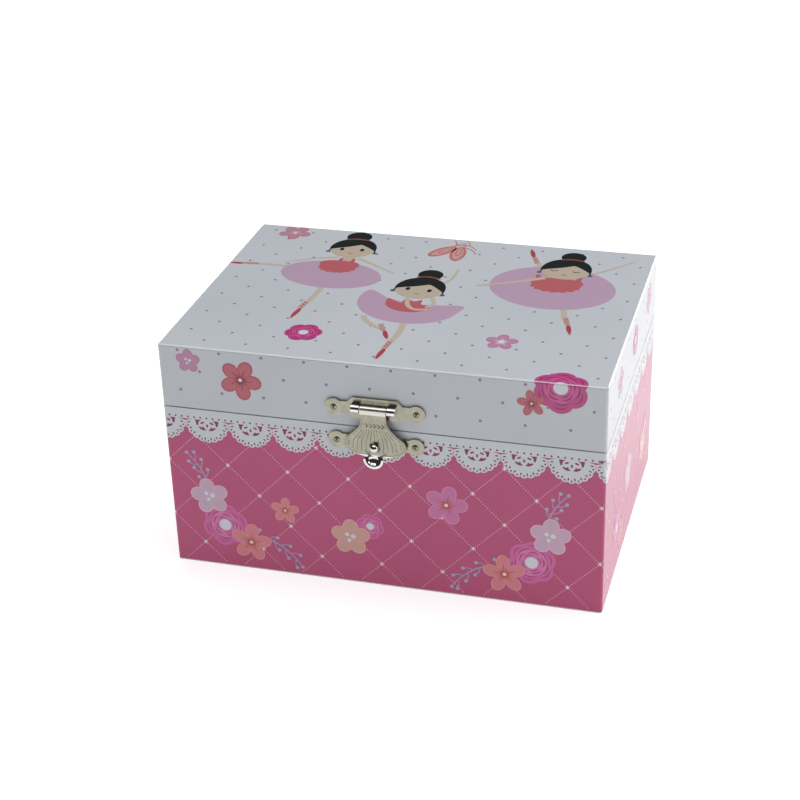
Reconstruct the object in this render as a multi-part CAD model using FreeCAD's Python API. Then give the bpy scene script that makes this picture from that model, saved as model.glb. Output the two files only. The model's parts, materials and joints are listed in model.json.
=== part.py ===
"""Ballerina jewellery box: a paper-wrapped board box with a hinged lid, a nickel front latch, a mirror in
the lid, a wind-up music movement under a deck at the back, and a dancer on a spring that stands up as the
lid opens.

Millimetres, +Z up, the front (latch side) faces -Y. The origin is the centre of the underside.
The box is modelled closed: the lid is down, the latch is over its stud, and the dancer lies forward.
Writes one STEP file per node to parts/.
"""

import FreeCAD, Part
import math
import os

V = FreeCAD.Vector
X_AXIS, Y_AXIS, Z_AXIS = V(1, 0, 0), V(0, 1, 0), V(0, 0, 1)

# ---- Driving dimensions of the box ----
WIDTH, DEPTH, HEIGHT = 150.0, 106.0, 84.0
BOARD = 2.4  # greyboard thickness
PAPER = 0.3  # printed wrap, with its glue
CORNER_R = 1.0  # outer vertical corners and top edges of the wrap
SEAM_Z = 61.0  # height of the gap between base and lid
SEAM_HALF = 0.2
FOOT_SHEET = 0.4
TURN_IN = 8.5  # how far the wrap is turned down inside the rim
LINING = 0.5  # velour on board

HALF_W, HALF_D = WIDTH / 2, DEPTH / 2
OUT_X, OUT_Y = HALF_W - PAPER, HALF_D - PAPER  # outer faces of the boards
IN_X, IN_Y = OUT_X - BOARD, OUT_Y - BOARD  # inner faces of the boards
BASE_TOP = SEAM_Z - SEAM_HALF
LID_BOTTOM = SEAM_Z + SEAM_HALF
FLOOR_TOP = FOOT_SHEET + BOARD

# ---- Rear compartment ----
PARTITION_Y = 12.6  # front face of the wall between jewellery and movement
DECK_TOP = 54.2
DECK_BOTTOM = DECK_TOP - BOARD
DIVIDER_X, DIVIDER_TOP, DIVIDER_T = 22.0, 46.0, 2.0
CLEAT = 5.0

# ---- Lid interior ----
MIRROR_W, MIRROR_D, MIRROR_T = 104.0, 66.0, 1.5
MIRROR_LIP = 1.5  # how far the lining paper laps over the mirror's edge
LID_CEILING = HEIGHT - PAPER - BOARD  # underside of the lid's top board
LINED_CEILING = LID_CEILING - MIRROR_T - PAPER

# ---- Lid hinges ----
HINGE_Y, HINGE_Z = HALF_D + 1.6, SEAM_Z
HINGE_X = 45.0  # centre of each hinge
HINGE_LEN, KNUCKLE_R, HINGE_PIN_R = 20.0, 1.6, 0.7
LEAF_T, LEAF_H = 0.8, 11.5
LID_OPEN_DEG = 100.0

# ---- Front latch ----
LATCH_X = -0.6
PLATE_T = 0.8
PLATE_CORNER_CUT = 2.0
LATCH_PIN_Y, LATCH_PIN_Z, LATCH_PIN_R = -HALF_D - 2.3, 68.8, 0.6
CURL_R, LUG_R = 1.3, 1.45
LUG_X0, LUG_X1 = 4.7, 7.4  # inner and outer end of each lug, from the latch's centre
FLAP_T, FLAP_Y = 0.8, -HALF_D - 1.9  # the hanging part's thickness and middle plane
LOBE_R = 3.0
LID_LOBE_X, LID_LOBE_Z = 13.9, 67.9
BASE_LOBE_X, BASE_LOBE_Z = 13.3, 55.8
STUD_Z, STUD_NECK_R, STUD_BALL_R = 55.2, 0.9, 1.6
FLAP_HOLE_R = 1.9
NAIL_R, NAIL_HEAD_R, NAIL_HEAD_H, NAIL_LEN = 0.5, 0.95, 0.4, 3.0

# ---- Music movement: barrel axis along Y, cylinder axis along Z ----
BED_T = 2.5
BED_Y = IN_Y - BED_T  # front face of the bedplate
BED_X0, BED_X1, BED_Z0, BED_Z1 = -24.5, 28.0, 4.5, 50.5
BARREL_Z = 17.5
ARBOR_R, ARBOR_RUN = 2.0, 0.05
HOUSING_R, HOUSING_WALL = 12.5, 0.8
CYL_Y = 33.4  # axis of the music cylinder
CYL_ARBOR_R, BEARING_GAP = 0.75, 0.04
CYL_R, CYL_Z0, CYL_Z1 = 6.5, 32.6, 48.8
PIN_R, PIN_H = 0.2, 0.45
CROWN_TEETH, CROWN_R, CROWN_FACE = 40, 11.5, 2.0
CROWN_ROOT_Y, CROWN_TOOTH_H = 36.5, 1.3
PINION_TEETH, PINION_TIP, PINION_ROOT = 8, 2.85, 1.55
PINION_Z0, PINION_Z1 = 27.6, 30.4
TRAIN_MODULE, CYL_GEAR_TEETH, GOV_PINION_TEETH = 0.35, 36, 9
CYL_GEAR_Z0, CYL_GEAR_Z1 = 31.0, 32.2
TRAIN_CENTRES = TRAIN_MODULE * (CYL_GEAR_TEETH + GOV_PINION_TEETH) / 2 + 0.06
GOV_ANGLE = 225.0  # direction from the cylinder axis to the governor wheel's axis
GOV_X = TRAIN_CENTRES * math.cos(math.radians(GOV_ANGLE))
GOV_Y = CYL_Y + TRAIN_CENTRES * math.sin(math.radians(GOV_ANGLE))
WORM_MODULE, WORM_WHEEL_TEETH = 0.4, 24
WORM_R, WORM_TIP, WORM_ROOT = 1.2, 1.5, 0.72
WORM_PITCH = math.pi * WORM_MODULE
WORM_Z = 25.2
WORM_Y = GOV_Y - WORM_MODULE * WORM_WHEEL_TEETH / 2 - WORM_R
WORM_LEN = 8.0
WORM_PHASE_DEG = 90.0  # turns the thread into mesh with the wheel
FAN_X, FAN_R, FAN_LEN = -16.0, 4.4, 4.0

# ---- Stop wire ----
STOP_X, STOP_R = -60.0, 0.8
STOP_BEND_Z, STOP_LOW_Z = 44.0, 18.0
STOP_RISE = 5.0

# ---- Dancer: the spring stands on the socket and bends over in two halves of 45 degrees ----
SOCKET_Z0, SOCKET_Z1 = 55.3, 57.0
SPRING_R, SPRING_WIRE_R, SPRING_TURNS = 2.25, 0.28, 10
SPRING_LEN = 16.5
TUTU_R = 10.8
DIAGONAL = math.sqrt(0.5)
LOW_BEND = (CYL_Y, SOCKET_Z1 + SPRING_LEN / 4)  # y and z of the first turning point
HIGH_BEND = (LOW_BEND[0] - SPRING_LEN / 2 * DIAGONAL, LOW_BEND[1] + SPRING_LEN / 2 * DIAGONAL)
SPRING_END = (HIGH_BEND[0] - SPRING_LEN / 4, HIGH_BEND[1])

parts = {}


# ---------------------------------------------------------------- helpers
def box(x0, x1, y0, y1, z0, z1):
    """A block between two corners."""
    return Part.makeBox(x1 - x0, y1 - y0, z1 - z0, V(x0, y0, z0))


def rod(radius, start, end):
    """A cylinder from one point to another."""
    a, b = V(*start), V(*end)
    return Part.makeCylinder(radius, (b - a).Length, a, b - a)


def cone(r0, r1, start, end):
    """A cone or, with equal radii, a cylinder, from one point to another."""
    if abs(r0 - r1) < 1e-6:
        return rod(r0, start, end)
    a, b = V(*start), V(*end)
    return Part.makeCone(r0, r1, (b - a).Length, a, b - a)


def ball(radius, centre):
    return Part.makeSphere(radius, V(*centre))


def turned_solid(profile, x=0.0):
    """A solid of revolution about an upright axis; the profile is a closed loop of (radius, height)."""
    loop = Part.makePolygon([V(r, 0, z) for r, z in profile + profile[:1]])
    return moved(Part.Face(loop).revolve(V(0, 0, 0), Z_AXIS, 360), x, 0, 0)


def prism(points, direction):
    """Extrudes a closed polygon along a direction."""
    wire = Part.makePolygon([V(*p) for p in points] + [V(*points[0])])
    return Part.Face(wire).extrude(V(*direction))


def rounded_block(half_x, half_y, z0, z1, radius):
    """An upright block with rounded vertical corners, centred on the Z axis."""
    block = box(-half_x, half_x, -half_y, half_y, z0, z1)
    upright = [e for e in block.Edges if abs(e.Vertexes[0].Z - e.Vertexes[1].Z) > 1e-6]
    return block.makeFillet(radius, upright)


def fused(shapes):
    """One solid from several that touch or overlap."""
    whole = shapes[0].multiFuse(shapes[1:])
    return whole.removeSplitter()


def minus(shape, cutters):
    for c in cutters:
        shape = shape.cut(c)
    return shape


def mirrored_x(shape, about=0.0):
    """The mirror image of a shape across the plane x = about."""
    return shape.mirror(V(about, 0, 0), X_AXIS)


def turned(shape, centre, axis, degrees):
    copy = shape.copy()
    copy.rotate(V(*centre), axis, degrees)
    return copy


def moved(shape, x, y, z):
    copy = shape.copy()
    copy.translate(V(x, y, z))
    return copy


def add(name, *shapes):
    """Keeps the solids of one node."""
    solids = [s for shape in shapes for s in shape.Solids]
    parts[name] = Part.makeCompound(solids) if len(solids) > 1 else solids[0]


# ---------------------------------------------------------------- gears
def involute_gear(teeth, module, z0, z1, thin, phase=0.0, addendum=0.9, dedendum=1.15):
    """A spur gear about the Z axis whose teeth are thinned for backlash; a tooth points along phase degrees."""
    pressure = math.radians(20)
    pitch_r = module * teeth / 2
    base_r = pitch_r * math.cos(pressure)
    tip_r, root_r = pitch_r + addendum * module, pitch_r - dedendum * module
    involute_at_pitch = math.tan(pressure) - pressure
    half_at_pitch = math.pi / (2 * teeth) - thin / (2 * pitch_r)

    def half_angle(r):
        if r <= base_r:
            return half_at_pitch + involute_at_pitch
        a = math.acos(base_r / r)
        return half_at_pitch + involute_at_pitch - (math.tan(a) - a)

    flank_start = max(base_r, root_r)
    radii = [root_r] + [flank_start + (tip_r - flank_start) * i / 4 for i in range(5)]
    points = []
    for k in range(teeth):
        middle = math.radians(phase) + 2 * math.pi * k / teeth
        for side, walk in ((-1, radii), (1, radii[::-1])):
            for r in walk:
                a = middle + side * half_angle(r)
                points.append((r * math.cos(a), r * math.sin(a), z0))
    clean = [p for i, p in enumerate(points) if (V(*p) - V(*points[i - 1])).Length > 1e-4]
    return prism(clean, (0, 0, z1 - z0))


def tapered_pinion(teeth, root_r, tip_r, half_root, half_tip, z0, z1, phase):
    """A small pinion about the Z axis with straight-sided teeth, given by their half thickness."""
    points = []
    for k in range(teeth):
        middle = math.radians(phase) + 2 * math.pi * k / teeth
        for r, half in ((root_r, -half_root), (tip_r, -half_tip), (tip_r, half_tip), (root_r, half_root)):
            a = middle + half / r
            points.append((r * math.cos(a), r * math.sin(a), z0))
    return prism(points, (0, 0, z1 - z0))


def solid_between(lower, upper):
    """A solid bounded by two quadrilaterals and the four faces that join them."""
    lower, upper = [V(*p) for p in lower], [V(*p) for p in upper]
    faces = []
    for loop in (lower, upper):
        for triangle in ((0, 1, 2), (0, 2, 3)):
            faces.append(Part.Face(Part.makePolygon([loop[i] for i in triangle] + [loop[triangle[0]]])))
    for i in range(4):
        j = (i + 1) % 4
        for triangle in ((lower[i], lower[j], upper[j]), (lower[i], upper[j], upper[i])):
            faces.append(Part.Face(Part.makePolygon(list(triangle) + [triangle[0]])))
    solid = Part.makeSolid(Part.makeShell(faces))
    if solid.Volume < 0:
        solid.reverse()
    return solid


def crown_wheel():
    """The disc that turns with the arbor and drives the cylinder, its teeth pointing forward (-Y)."""
    disc_y = CROWN_ROOT_Y + 1.0
    disc = rod(CROWN_R + CROWN_FACE / 2 + 0.1, (0, CROWN_ROOT_Y, 0), (0, disc_y, 0))
    half_root, half_tip = 0.40, 0.17
    r0, r1 = CROWN_R - CROWN_FACE / 2, CROWN_R + CROWN_FACE / 2
    embed = 0.05
    teeth = []
    for k in range(CROWN_TEETH):
        middle = 2 * math.pi * (k + 0.5) / CROWN_TEETH

        def corner(r, half, y):
            a = middle + half / CROWN_R
            return (r * math.sin(a), y, r * math.cos(a))

        loops = []
        for y, half in ((CROWN_ROOT_Y + embed, half_root), (CROWN_ROOT_Y - CROWN_TOOTH_H, half_tip)):
            loops.append([corner(r0, -half, y), corner(r1, -half, y), corner(r1, half, y), corner(r0, half, y)])
        teeth.append(solid_between(*loops))
    return moved(fused([disc] + teeth), 0, 0, BARREL_Z)


def helix_ridge(pitch, turns, radius, profile):
    """A ridge of the given radial profile [(radius, height)] swept along a helix about +Z from z = 0."""
    helix = Part.makeHelix(pitch, pitch * turns, radius)
    wire = Part.makePolygon([V(r, 0, h) for r, h in profile] + [V(profile[0][0], 0, profile[0][1])])
    sweep = Part.BRepOffsetAPI.MakePipeShell(helix)
    sweep.setFrenetMode(True)
    sweep.add(wire)
    sweep.build()
    sweep.makeSolid()
    return sweep.shape()


# ---------------------------------------------------------------- base carcass
def side_boards(z0, z1):
    """The left and right boards, which run the full depth and cover the ends of the front and back."""
    return [box(x, x + BOARD, -OUT_Y, OUT_Y, z0, z1) for x in (-OUT_X, IN_X)]


def base_boards():
    """The five boards of the base, before holes are made for fasteners."""
    z0, z1 = FOOT_SHEET, BASE_TOP - PAPER
    add("base_floor_board", box(-IN_X, IN_X, -IN_Y, IN_Y, z0, FLOOR_TOP))
    add("base_front_board", box(-IN_X, IN_X, -OUT_Y, -IN_Y, z0, z1))
    add("base_back_board", box(-IN_X, IN_X, IN_Y, OUT_Y, z0, z1))
    add("base_side_boards", *side_boards(z0, z1))


def base_wrap():
    """The printed paper: the outer skin, the rim and the turn-in down the inside of the walls."""
    outer = rounded_block(HALF_W, HALF_D, FOOT_SHEET, BASE_TOP, CORNER_R)
    boards = box(-OUT_X, OUT_X, -OUT_Y, OUT_Y, FOOT_SHEET, BASE_TOP - PAPER)
    turn_in = box(-IN_X, IN_X, -IN_Y, IN_Y, BASE_TOP - TURN_IN, BASE_TOP)
    mouth = box(-IN_X + PAPER, IN_X - PAPER, -IN_Y + PAPER, IN_Y - PAPER, FOOT_SHEET, BASE_TOP)
    return outer.cut(boards).fuse(turn_in).cut(mouth).removeSplitter()


def compartment_lining():
    """Velour tray that lines the jewellery compartment at the front."""
    x, y0, y1 = IN_X, -IN_Y, PARTITION_Y
    top = BASE_TOP - TURN_IN - 0.1
    outer = box(-x, x, y0, y1, FLOOR_TOP, top)
    return outer.cut(box(-x + LINING, x - LINING, y0 + LINING, y1 - LINING, FLOOR_TOP + LINING, top + 1))


def base_interior():
    """Partition, deck, linings, divider and cleats."""
    add("movement_partition", box(-IN_X, IN_X, PARTITION_Y, PARTITION_Y + BOARD, FLOOR_TOP, DECK_BOTTOM))
    add("compartment_lining", compartment_lining())
    lined_x = IN_X - LINING
    add(
        "compartment_divider",
        box(
            DIVIDER_X - DIVIDER_T / 2, DIVIDER_X + DIVIDER_T / 2,
            -IN_Y + LINING, PARTITION_Y - LINING, FLOOR_TOP + LINING, DIVIDER_TOP,
        ),
    )
    cleats = [
        box(side * (IN_X - CLEAT) if side > 0 else -IN_X, IN_X if side > 0 else -IN_X + CLEAT,
            PARTITION_Y + BOARD, IN_Y, DECK_BOTTOM - CLEAT, DECK_BOTTOM)
        for side in (-1, 1)
    ]
    add("deck_cleats", *cleats)
    gap = PAPER + 0.1
    deck = box(-IN_X + gap, IN_X - gap, PARTITION_Y, IN_Y - gap, DECK_BOTTOM, DECK_TOP)
    lining = box(-IN_X + gap, IN_X - gap, PARTITION_Y - LINING, IN_Y - gap, DECK_TOP, DECK_TOP + LINING)
    front_lip = box(-lined_x, lined_x, PARTITION_Y - LINING, PARTITION_Y, BASE_TOP - TURN_IN, DECK_TOP)
    rotor_hole = rod(3.6, (0, CYL_Y, DECK_BOTTOM - 1), (0, CYL_Y, DECK_TOP + 2))
    bush_hole = rod(2.0, (STOP_X, WORM_Y, DECK_BOTTOM - 1), (STOP_X, WORM_Y, DECK_TOP + 2))
    add("movement_deck", minus(deck, [rotor_hole, bush_hole]))
    add("deck_lining", minus(fused([lining, front_lip]), [rotor_hole, bush_hole]))


# ---------------------------------------------------------------- lid
def lid_boards():
    z0 = LID_BOTTOM + PAPER
    add("lid_top_board", box(-OUT_X, OUT_X, -OUT_Y, OUT_Y, LID_CEILING, HEIGHT - PAPER))
    add("lid_front_board", box(-IN_X, IN_X, -OUT_Y, -IN_Y, z0, LID_CEILING))
    add("lid_back_board", box(-IN_X, IN_X, IN_Y, OUT_Y, z0, LID_CEILING))
    add("lid_side_boards", *side_boards(z0, LID_CEILING))


def lid_wrap():
    """The lid's printed paper, with soft top edges, turned in round the rim."""
    outer = rounded_block(HALF_W, HALF_D, LID_BOTTOM, HEIGHT, CORNER_R)
    top_edges = [e for e in outer.Edges if min(v.Z for v in e.Vertexes) > HEIGHT - 1e-6]
    outer = outer.makeFillet(CORNER_R * 0.8, top_edges)
    boards = box(-OUT_X, OUT_X, -OUT_Y, OUT_Y, LID_BOTTOM + PAPER, HEIGHT - PAPER)
    soft = 0.55  # the boards' own edges, crushed a little under the paper
    return outer.cut(boards), soft


def lid_interior():
    """Mirror, the board round it, and the paper lining that holds both."""
    half_mw, half_md = MIRROR_W / 2, MIRROR_D / 2
    mirror_z = LID_CEILING - MIRROR_T
    mirror = rounded_block(half_mw, half_md, mirror_z, LID_CEILING, 2.0)
    window = rounded_block(half_mw + 0.2, half_md + 0.2, mirror_z - 1, LID_CEILING + 1, 2.2)
    inner_x, inner_y = IN_X - PAPER, IN_Y - PAPER
    surround = box(-inner_x, inner_x, -inner_y, inner_y, mirror_z, LID_CEILING).cut(window)
    shell = box(-IN_X, IN_X, -IN_Y, IN_Y, LID_BOTTOM + PAPER, LID_CEILING)
    shell = shell.cut(box(-inner_x, inner_x, -inner_y, inner_y, LID_BOTTOM - 1, LINED_CEILING))
    shell = shell.cut(box(-inner_x, inner_x, -inner_y, inner_y, mirror_z, LID_CEILING + 1))
    view = rounded_block(half_mw - MIRROR_LIP, half_md - MIRROR_LIP, LINED_CEILING - 1, mirror_z + 1, 3.0)
    add("mirror", mirror)
    add("mirror_surround", surround)
    add("lid_lining", shell.cut(view))


def lid_shells():
    """Lid boards trimmed to the wrap's soft edges, the wrap, and the rim paper."""
    wrap, _ = lid_wrap()
    rim_hole = box(-IN_X, IN_X, -IN_Y, IN_Y, LID_BOTTOM - 1, LID_BOTTOM + PAPER + 0.01)
    add("lid_wrap", wrap.cut(rim_hole))


# ---------------------------------------------------------------- nails
def nail(x, y, z, outward, length=NAIL_LEN):
    """A small round-headed nail whose head seats at (x, y, z); outward is -1 for the front, 1 for the back."""
    shank = rod(NAIL_R, (x, y, z), (x, y - outward * length, z))
    dome_r = (NAIL_HEAD_R**2 + NAIL_HEAD_H**2) / (2 * NAIL_HEAD_H)
    dome = ball(dome_r, (x, y + outward * (NAIL_HEAD_H - dome_r), z))
    ys = sorted((y, y + outward * 2))
    head = dome.common(box(x - 2, x + 2, ys[0], ys[1], z - 2, z + 2))
    return fused([shank, head])


# ---------------------------------------------------------------- lid hinges
def hinge_leaf(x, upper):
    """One leaf with its rolled knuckle or knuckles; the base leaf also has the bent stop tab."""
    half = HINGE_LEN / 2
    third, gap = HINGE_LEN / 6, 0.15
    z0 = HINGE_Z if upper else HINGE_Z - LEAF_H
    plate = box(x - half, x + half, HALF_D, HALF_D + LEAF_T, z0, z0 + LEAF_H)
    if upper:
        spans = [(x - third + gap, x + third - gap)]
        keep_out = [(x - half, x - third), (x + third, x + half)]
    else:
        spans = [(x - half, x - third), (x + third, x + half)]
        keep_out = [(x - third, x + third)]
    relief = KNUCKLE_R + 0.2
    for a, b in keep_out:
        plate = plate.cut(box(a - 0.01, b + 0.01, HALF_D - 1, HALF_D + 2, HINGE_Z - relief, HINGE_Z + relief))
    pieces = [plate]
    for a, b in spans:
        pieces.append(rod(KNUCKLE_R, (a, HINGE_Y, HINGE_Z), (b, HINGE_Y, HINGE_Z)))
    if not upper:
        pieces.append(box(x - 2.5, x + 2.5, HALF_D, HALF_D + 5.0, HINGE_Z - 3.2, HINGE_Z - 2.4))
        pieces.append(box(x - 2.5, x + 2.5, HALF_D + 4.2, HALF_D + 5.0, HINGE_Z - 3.2, HINGE_Z + 0.15))
    run = 0.06 if upper else 0.0
    bore = rod(HINGE_PIN_R + run, (x - half - 1, HINGE_Y, HINGE_Z), (x + half + 1, HINGE_Y, HINGE_Z))
    return fused(pieces).cut(bore)


def hinges():
    base_leaves, lid_leaves, pins, base_nails, lid_nails = [], [], [], [], []
    for x in (-HINGE_X, HINGE_X):
        half = HINGE_LEN / 2
        pins.append(rod(HINGE_PIN_R, (x - half, HINGE_Y, HINGE_Z), (x + half, HINGE_Y, HINGE_Z)))
        for dx in (-6.0, 6.0):
            base_nails.append(nail(x + dx, HALF_D + LEAF_T, HINGE_Z - 7.5, 1))
            lid_nails.append(nail(x + dx, HALF_D + LEAF_T, HINGE_Z + 7.5, 1))
        base_leaves.append(hinge_leaf(x, upper=False))
        lid_leaves.append(hinge_leaf(x, upper=True))
    add("hinge_base_leaves", *[minus(s, base_nails) for s in base_leaves])
    add("hinge_lid_leaves", *[minus(s, lid_nails) for s in lid_leaves])
    add("hinge_pins", *pins)
    return base_nails, lid_nails


# ---------------------------------------------------------------- latch
def latch_plate(lobe_x, lobe_z, body_half, z0, z1):
    """A stamped plate: a middle panel with cut corners, and a round lobe with a neck on each side."""
    y0, y1 = -HALF_D - PLATE_T, -HALF_D
    cut = PLATE_CORNER_CUT
    right = [(body_half - cut, z0), (body_half, z0 + cut), (body_half, z1 - cut), (body_half - cut, z1)]
    panel = right + [(-x, z) for x, z in reversed(right)]
    shapes = [prism([(x, y0, z) for x, z in panel], (0, PLATE_T, 0))]
    neck = LOBE_R - 0.7
    shapes.append(box(-lobe_x, lobe_x, y0, y1, lobe_z - neck, lobe_z + neck))
    for side in (-1, 1):
        shapes.append(rod(LOBE_R, (side * lobe_x, y0, lobe_z), (side * lobe_x, y1, lobe_z)))
    return moved(fused(shapes), LATCH_X, 0, 0)


def latch_lid_plate():
    """The plate on the lid, with the two lugs that carry the flap's pin."""
    plate = latch_plate(LID_LOBE_X, LID_LOBE_Z, 9.6, LID_LOBE_Z - 3.2, 72.0)
    lugs = []
    for side in (-1, 1):
        x0, x1 = sorted((LATCH_X + side * LUG_X0, LATCH_X + side * LUG_X1))
        lugs.append(rod(LUG_R, (x0, LATCH_PIN_Y, LATCH_PIN_Z), (x1, LATCH_PIN_Y, LATCH_PIN_Z)))
        lugs.append(box(x0, x1, LATCH_PIN_Y, -HALF_D, LATCH_PIN_Z - 1.3, LATCH_PIN_Z + LUG_R))
    bore = rod(LATCH_PIN_R, (LATCH_X - 9, LATCH_PIN_Y, LATCH_PIN_Z), (LATCH_X + 9, LATCH_PIN_Y, LATCH_PIN_Z))
    return fused([plate] + lugs).cut(bore)


def fan_outline(shrink=0.0):
    """The flap's outline seen from the front: a narrow neck that flares into a scalloped fan."""
    neck, wide, low = 4.4 - shrink, 10.7 - shrink, 51.4 + shrink
    left = [
        (-neck, LATCH_PIN_Z), (-neck, 64.2), (-neck - 0.9, 62.0), (-7.6, 59.6),
        (-9.9, 57.8), (-wide, 56.0), (-wide + 0.3, 54.4), (-wide + 1.9, 53.0),
        (-6.6, 52.2), (-3.4, low),
    ]
    return left + [(-x, z) for x, z in reversed(left)]


def latch_flap():
    """The hasp: a curl round the pin, a face that sweeps in towards the box, and a thumb tab."""
    curl = rod(CURL_R, (-4.4, LATCH_PIN_Y, LATCH_PIN_Z), (4.4, LATCH_PIN_Y, LATCH_PIN_Z))
    front = LATCH_PIN_Y - CURL_R
    inner, outer = FLAP_Y + FLAP_T / 2, FLAP_Y - FLAP_T / 2
    side = [
        (front, LATCH_PIN_Z), (front, 66.6), (outer, 62.4), (outer, 51.0),
        (inner, 51.0), (inner, 62.6), (front + FLAP_T, 66.8), (front + FLAP_T, LATCH_PIN_Z),
    ]
    sheet = prism([(-12, y, z) for y, z in side], (24, 0, 0))
    outline = prism([(x, -HALF_D - 8, z) for x, z in fan_outline()], (0, 8, 0))
    face = sheet.common(outline)
    tab_r, tab_z = 2.9, 51.6
    shell = ball(3.4, (0, FLAP_Y - 3.1, tab_z)).cut(ball(2.7, (0, FLAP_Y - 3.1, tab_z)))
    tab = shell.common(box(-4, 4, FLAP_Y - 2.6, FLAP_Y + 1, tab_z - tab_r - 0.6, tab_z + 0.1))
    whole = fused([curl, face, tab])
    pin_bore = rod(LATCH_PIN_R + 0.06, (-9, LATCH_PIN_Y, LATCH_PIN_Z), (9, LATCH_PIN_Y, LATCH_PIN_Z))
    stud_hole = rod(FLAP_HOLE_R, (0, -HALF_D - 5, STUD_Z), (0, -HALF_D, STUD_Z))
    return moved(minus(whole, [pin_bore, stud_hole]), LATCH_X, 0, 0)


def latch():
    face = -HALF_D - PLATE_T
    lid_nails = [nail(LATCH_X + s * LID_LOBE_X, face, LID_LOBE_Z, -1) for s in (-1, 1)]
    base_nails = [nail(LATCH_X + s * BASE_LOBE_X, face, BASE_LOBE_Z, -1) for s in (-1, 1)]
    ball_y = FLAP_Y - FLAP_T / 2 - 0.7
    stud = fused(
        [
            rod(STUD_NECK_R, (LATCH_X, -HALF_D + 1.8, STUD_Z), (LATCH_X, ball_y, STUD_Z)),
            ball(STUD_BALL_R, (LATCH_X, ball_y, STUD_Z)),
        ]
    )
    base_plate = latch_plate(BASE_LOBE_X, BASE_LOBE_Z, 9.2, 51.0, 59.2)
    add("latch_lid_plate", minus(latch_lid_plate(), lid_nails))
    add("latch_base_plate", minus(base_plate, base_nails + [stud]))
    add("latch_stud", stud)
    pin_half = LUG_X1
    add(
        "latch_pin",
        rod(
            LATCH_PIN_R,
            (LATCH_X - pin_half, LATCH_PIN_Y, LATCH_PIN_Z),
            (LATCH_X + pin_half, LATCH_PIN_Y, LATCH_PIN_Z),
        ),
    )
    add("latch_flap", latch_flap())
    return base_nails, lid_nails


# ---------------------------------------------------------------- movement frame
def case_screws():
    """The three screws that hold the movement to the back wall from outside."""
    screws = []
    for x, z in ((-20.0, 9.0), (24.0, 9.0), (-20.0, 46.0)):
        head = rod(2.4, (x, HALF_D, z), (x, HALF_D + 1.1, z))
        shank = rod(1.25, (x, BED_Y + 0.4, z), (x, HALF_D, z))
        slot = box(x - 2.5, x + 2.5, HALF_D + 0.6, HALF_D + 2, z - 0.3, z + 0.3)
        screws.append(fused([head, shank]).cut(slot))
    return screws


def comb_screws():
    """Two screws that clamp the comb to its foot."""
    y = CYL_Y - 0.8
    screws = []
    for z in (36.0, 45.6):
        head = rod(2.0, (22.5, y - 1.2, z), (22.5, y, z))
        shank = rod(1.1, (22.5, y, z), (22.5, y + 6, z))
        slot = box(20, 25, y - 2, y - 0.7, z - 0.25, z + 0.25)
        screws.append(fused([head, shank]).cut(slot))
    return screws


def frame_screws():
    """Screws that hold the bridge, the top bearing and the governor frame to the bedplate."""
    screws = []
    flange_y = BED_Y - 1.2
    for x, z in ((19.0, 23.5), (0.0, 46.6), (-23.0, 25.0)):
        head = rod(1.3, (x, flange_y - 0.9, z), (x, flange_y, z))
        shank = rod(0.8, (x, flange_y, z), (x, BED_Y + 1.8, z))
        screws.append(fused([head, shank]))
    return screws


def movement_frame():
    """Bedplate with the comb's foot, the comb, the bearings and the spring housing."""
    screws, comb_fixings, small = case_screws(), comb_screws(), frame_screws()
    foot = box(18.0, 27.0, CYL_Y + 0.8, BED_Y, 32.6, 49.0)
    plate = box(BED_X0, BED_X1, BED_Y, IN_Y, BED_Z0, BED_Z1)
    arbor_bore = rod(ARBOR_R + ARBOR_RUN, (0, BED_Y - 1, BARREL_Z), (0, IN_Y + 1, BARREL_Z))
    add("movement_bedplate", minus(fused([plate, foot]), [arbor_bore] + screws + comb_fixings + small))
    add("movement_screws", *screws)

    y0, y1 = CYL_Y - 0.8, CYL_Y + 0.8
    tip_x = CYL_R + PIN_H + 0.15
    reed_z0, reed_z1 = CYL_Z0 + 0.4, CYL_Z1 - 0.2
    heel = box(17.0, 27.0, y0, y1, 32.6, 49.0)
    reeds = box(tip_x, 17.5, CYL_Y - 0.3, CYL_Y + 0.3, reed_z0, reed_z1)
    notes = 18
    pitch = (reed_z1 - reed_z0) / notes
    slots = [
        box(tip_x - 1, 16.8, CYL_Y - 1, CYL_Y + 1, reed_z0 + k * pitch - 0.12, reed_z0 + k * pitch + 0.12)
        for k in range(1, notes)
    ]
    comb = fused([heel, reeds]).cut(Part.makeCompound(slots))
    add("music_comb", minus(comb, comb_fixings))

    bearing_r = CYL_ARBOR_R + BEARING_GAP
    leg = box(14.2, 16.2, CYL_Y - 1.5, BED_Y, 20.5, 26.8)
    bar = box(-1.8, 16.2, CYL_Y - 1.5, CYL_Y + 1.5, 20.5, 26.8)
    flange = box(14.2, 21.0, BED_Y - 1.2, BED_Y, 20.5, 26.8)
    pocket = rod(bearing_r, (0, CYL_Y, 22.3), (0, CYL_Y, 30))
    add("barrel_bridge", minus(fused([leg, bar, flange]), [pocket] + small))

    arm = box(-4.5, 4.5, CYL_Y - 3, BED_Y, 49.5, 50.5)
    drop = box(-4.5, 4.5, BED_Y - 1.2, BED_Y, 44.2, 50.5)
    through = rod(bearing_r, (0, CYL_Y, 48), (0, CYL_Y, 52))
    add("cylinder_top_bearing", minus(fused([arm, drop]), [through] + small))
    add("movement_small_screws", *comb_fixings, *small)

    outer = rod(HOUSING_R, (0, CROWN_ROOT_Y + 1.4, BARREL_Z), (0, BED_Y, BARREL_Z))
    inner = rod(HOUSING_R - HOUSING_WALL, (0, CROWN_ROOT_Y, BARREL_Z), (0, BED_Y - 0.8, BARREL_Z))
    bore = rod(ARBOR_R + ARBOR_RUN, (0, 30, BARREL_Z), (0, 60, BARREL_Z))
    add("spring_housing", minus(outer, [inner, bore]))


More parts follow.
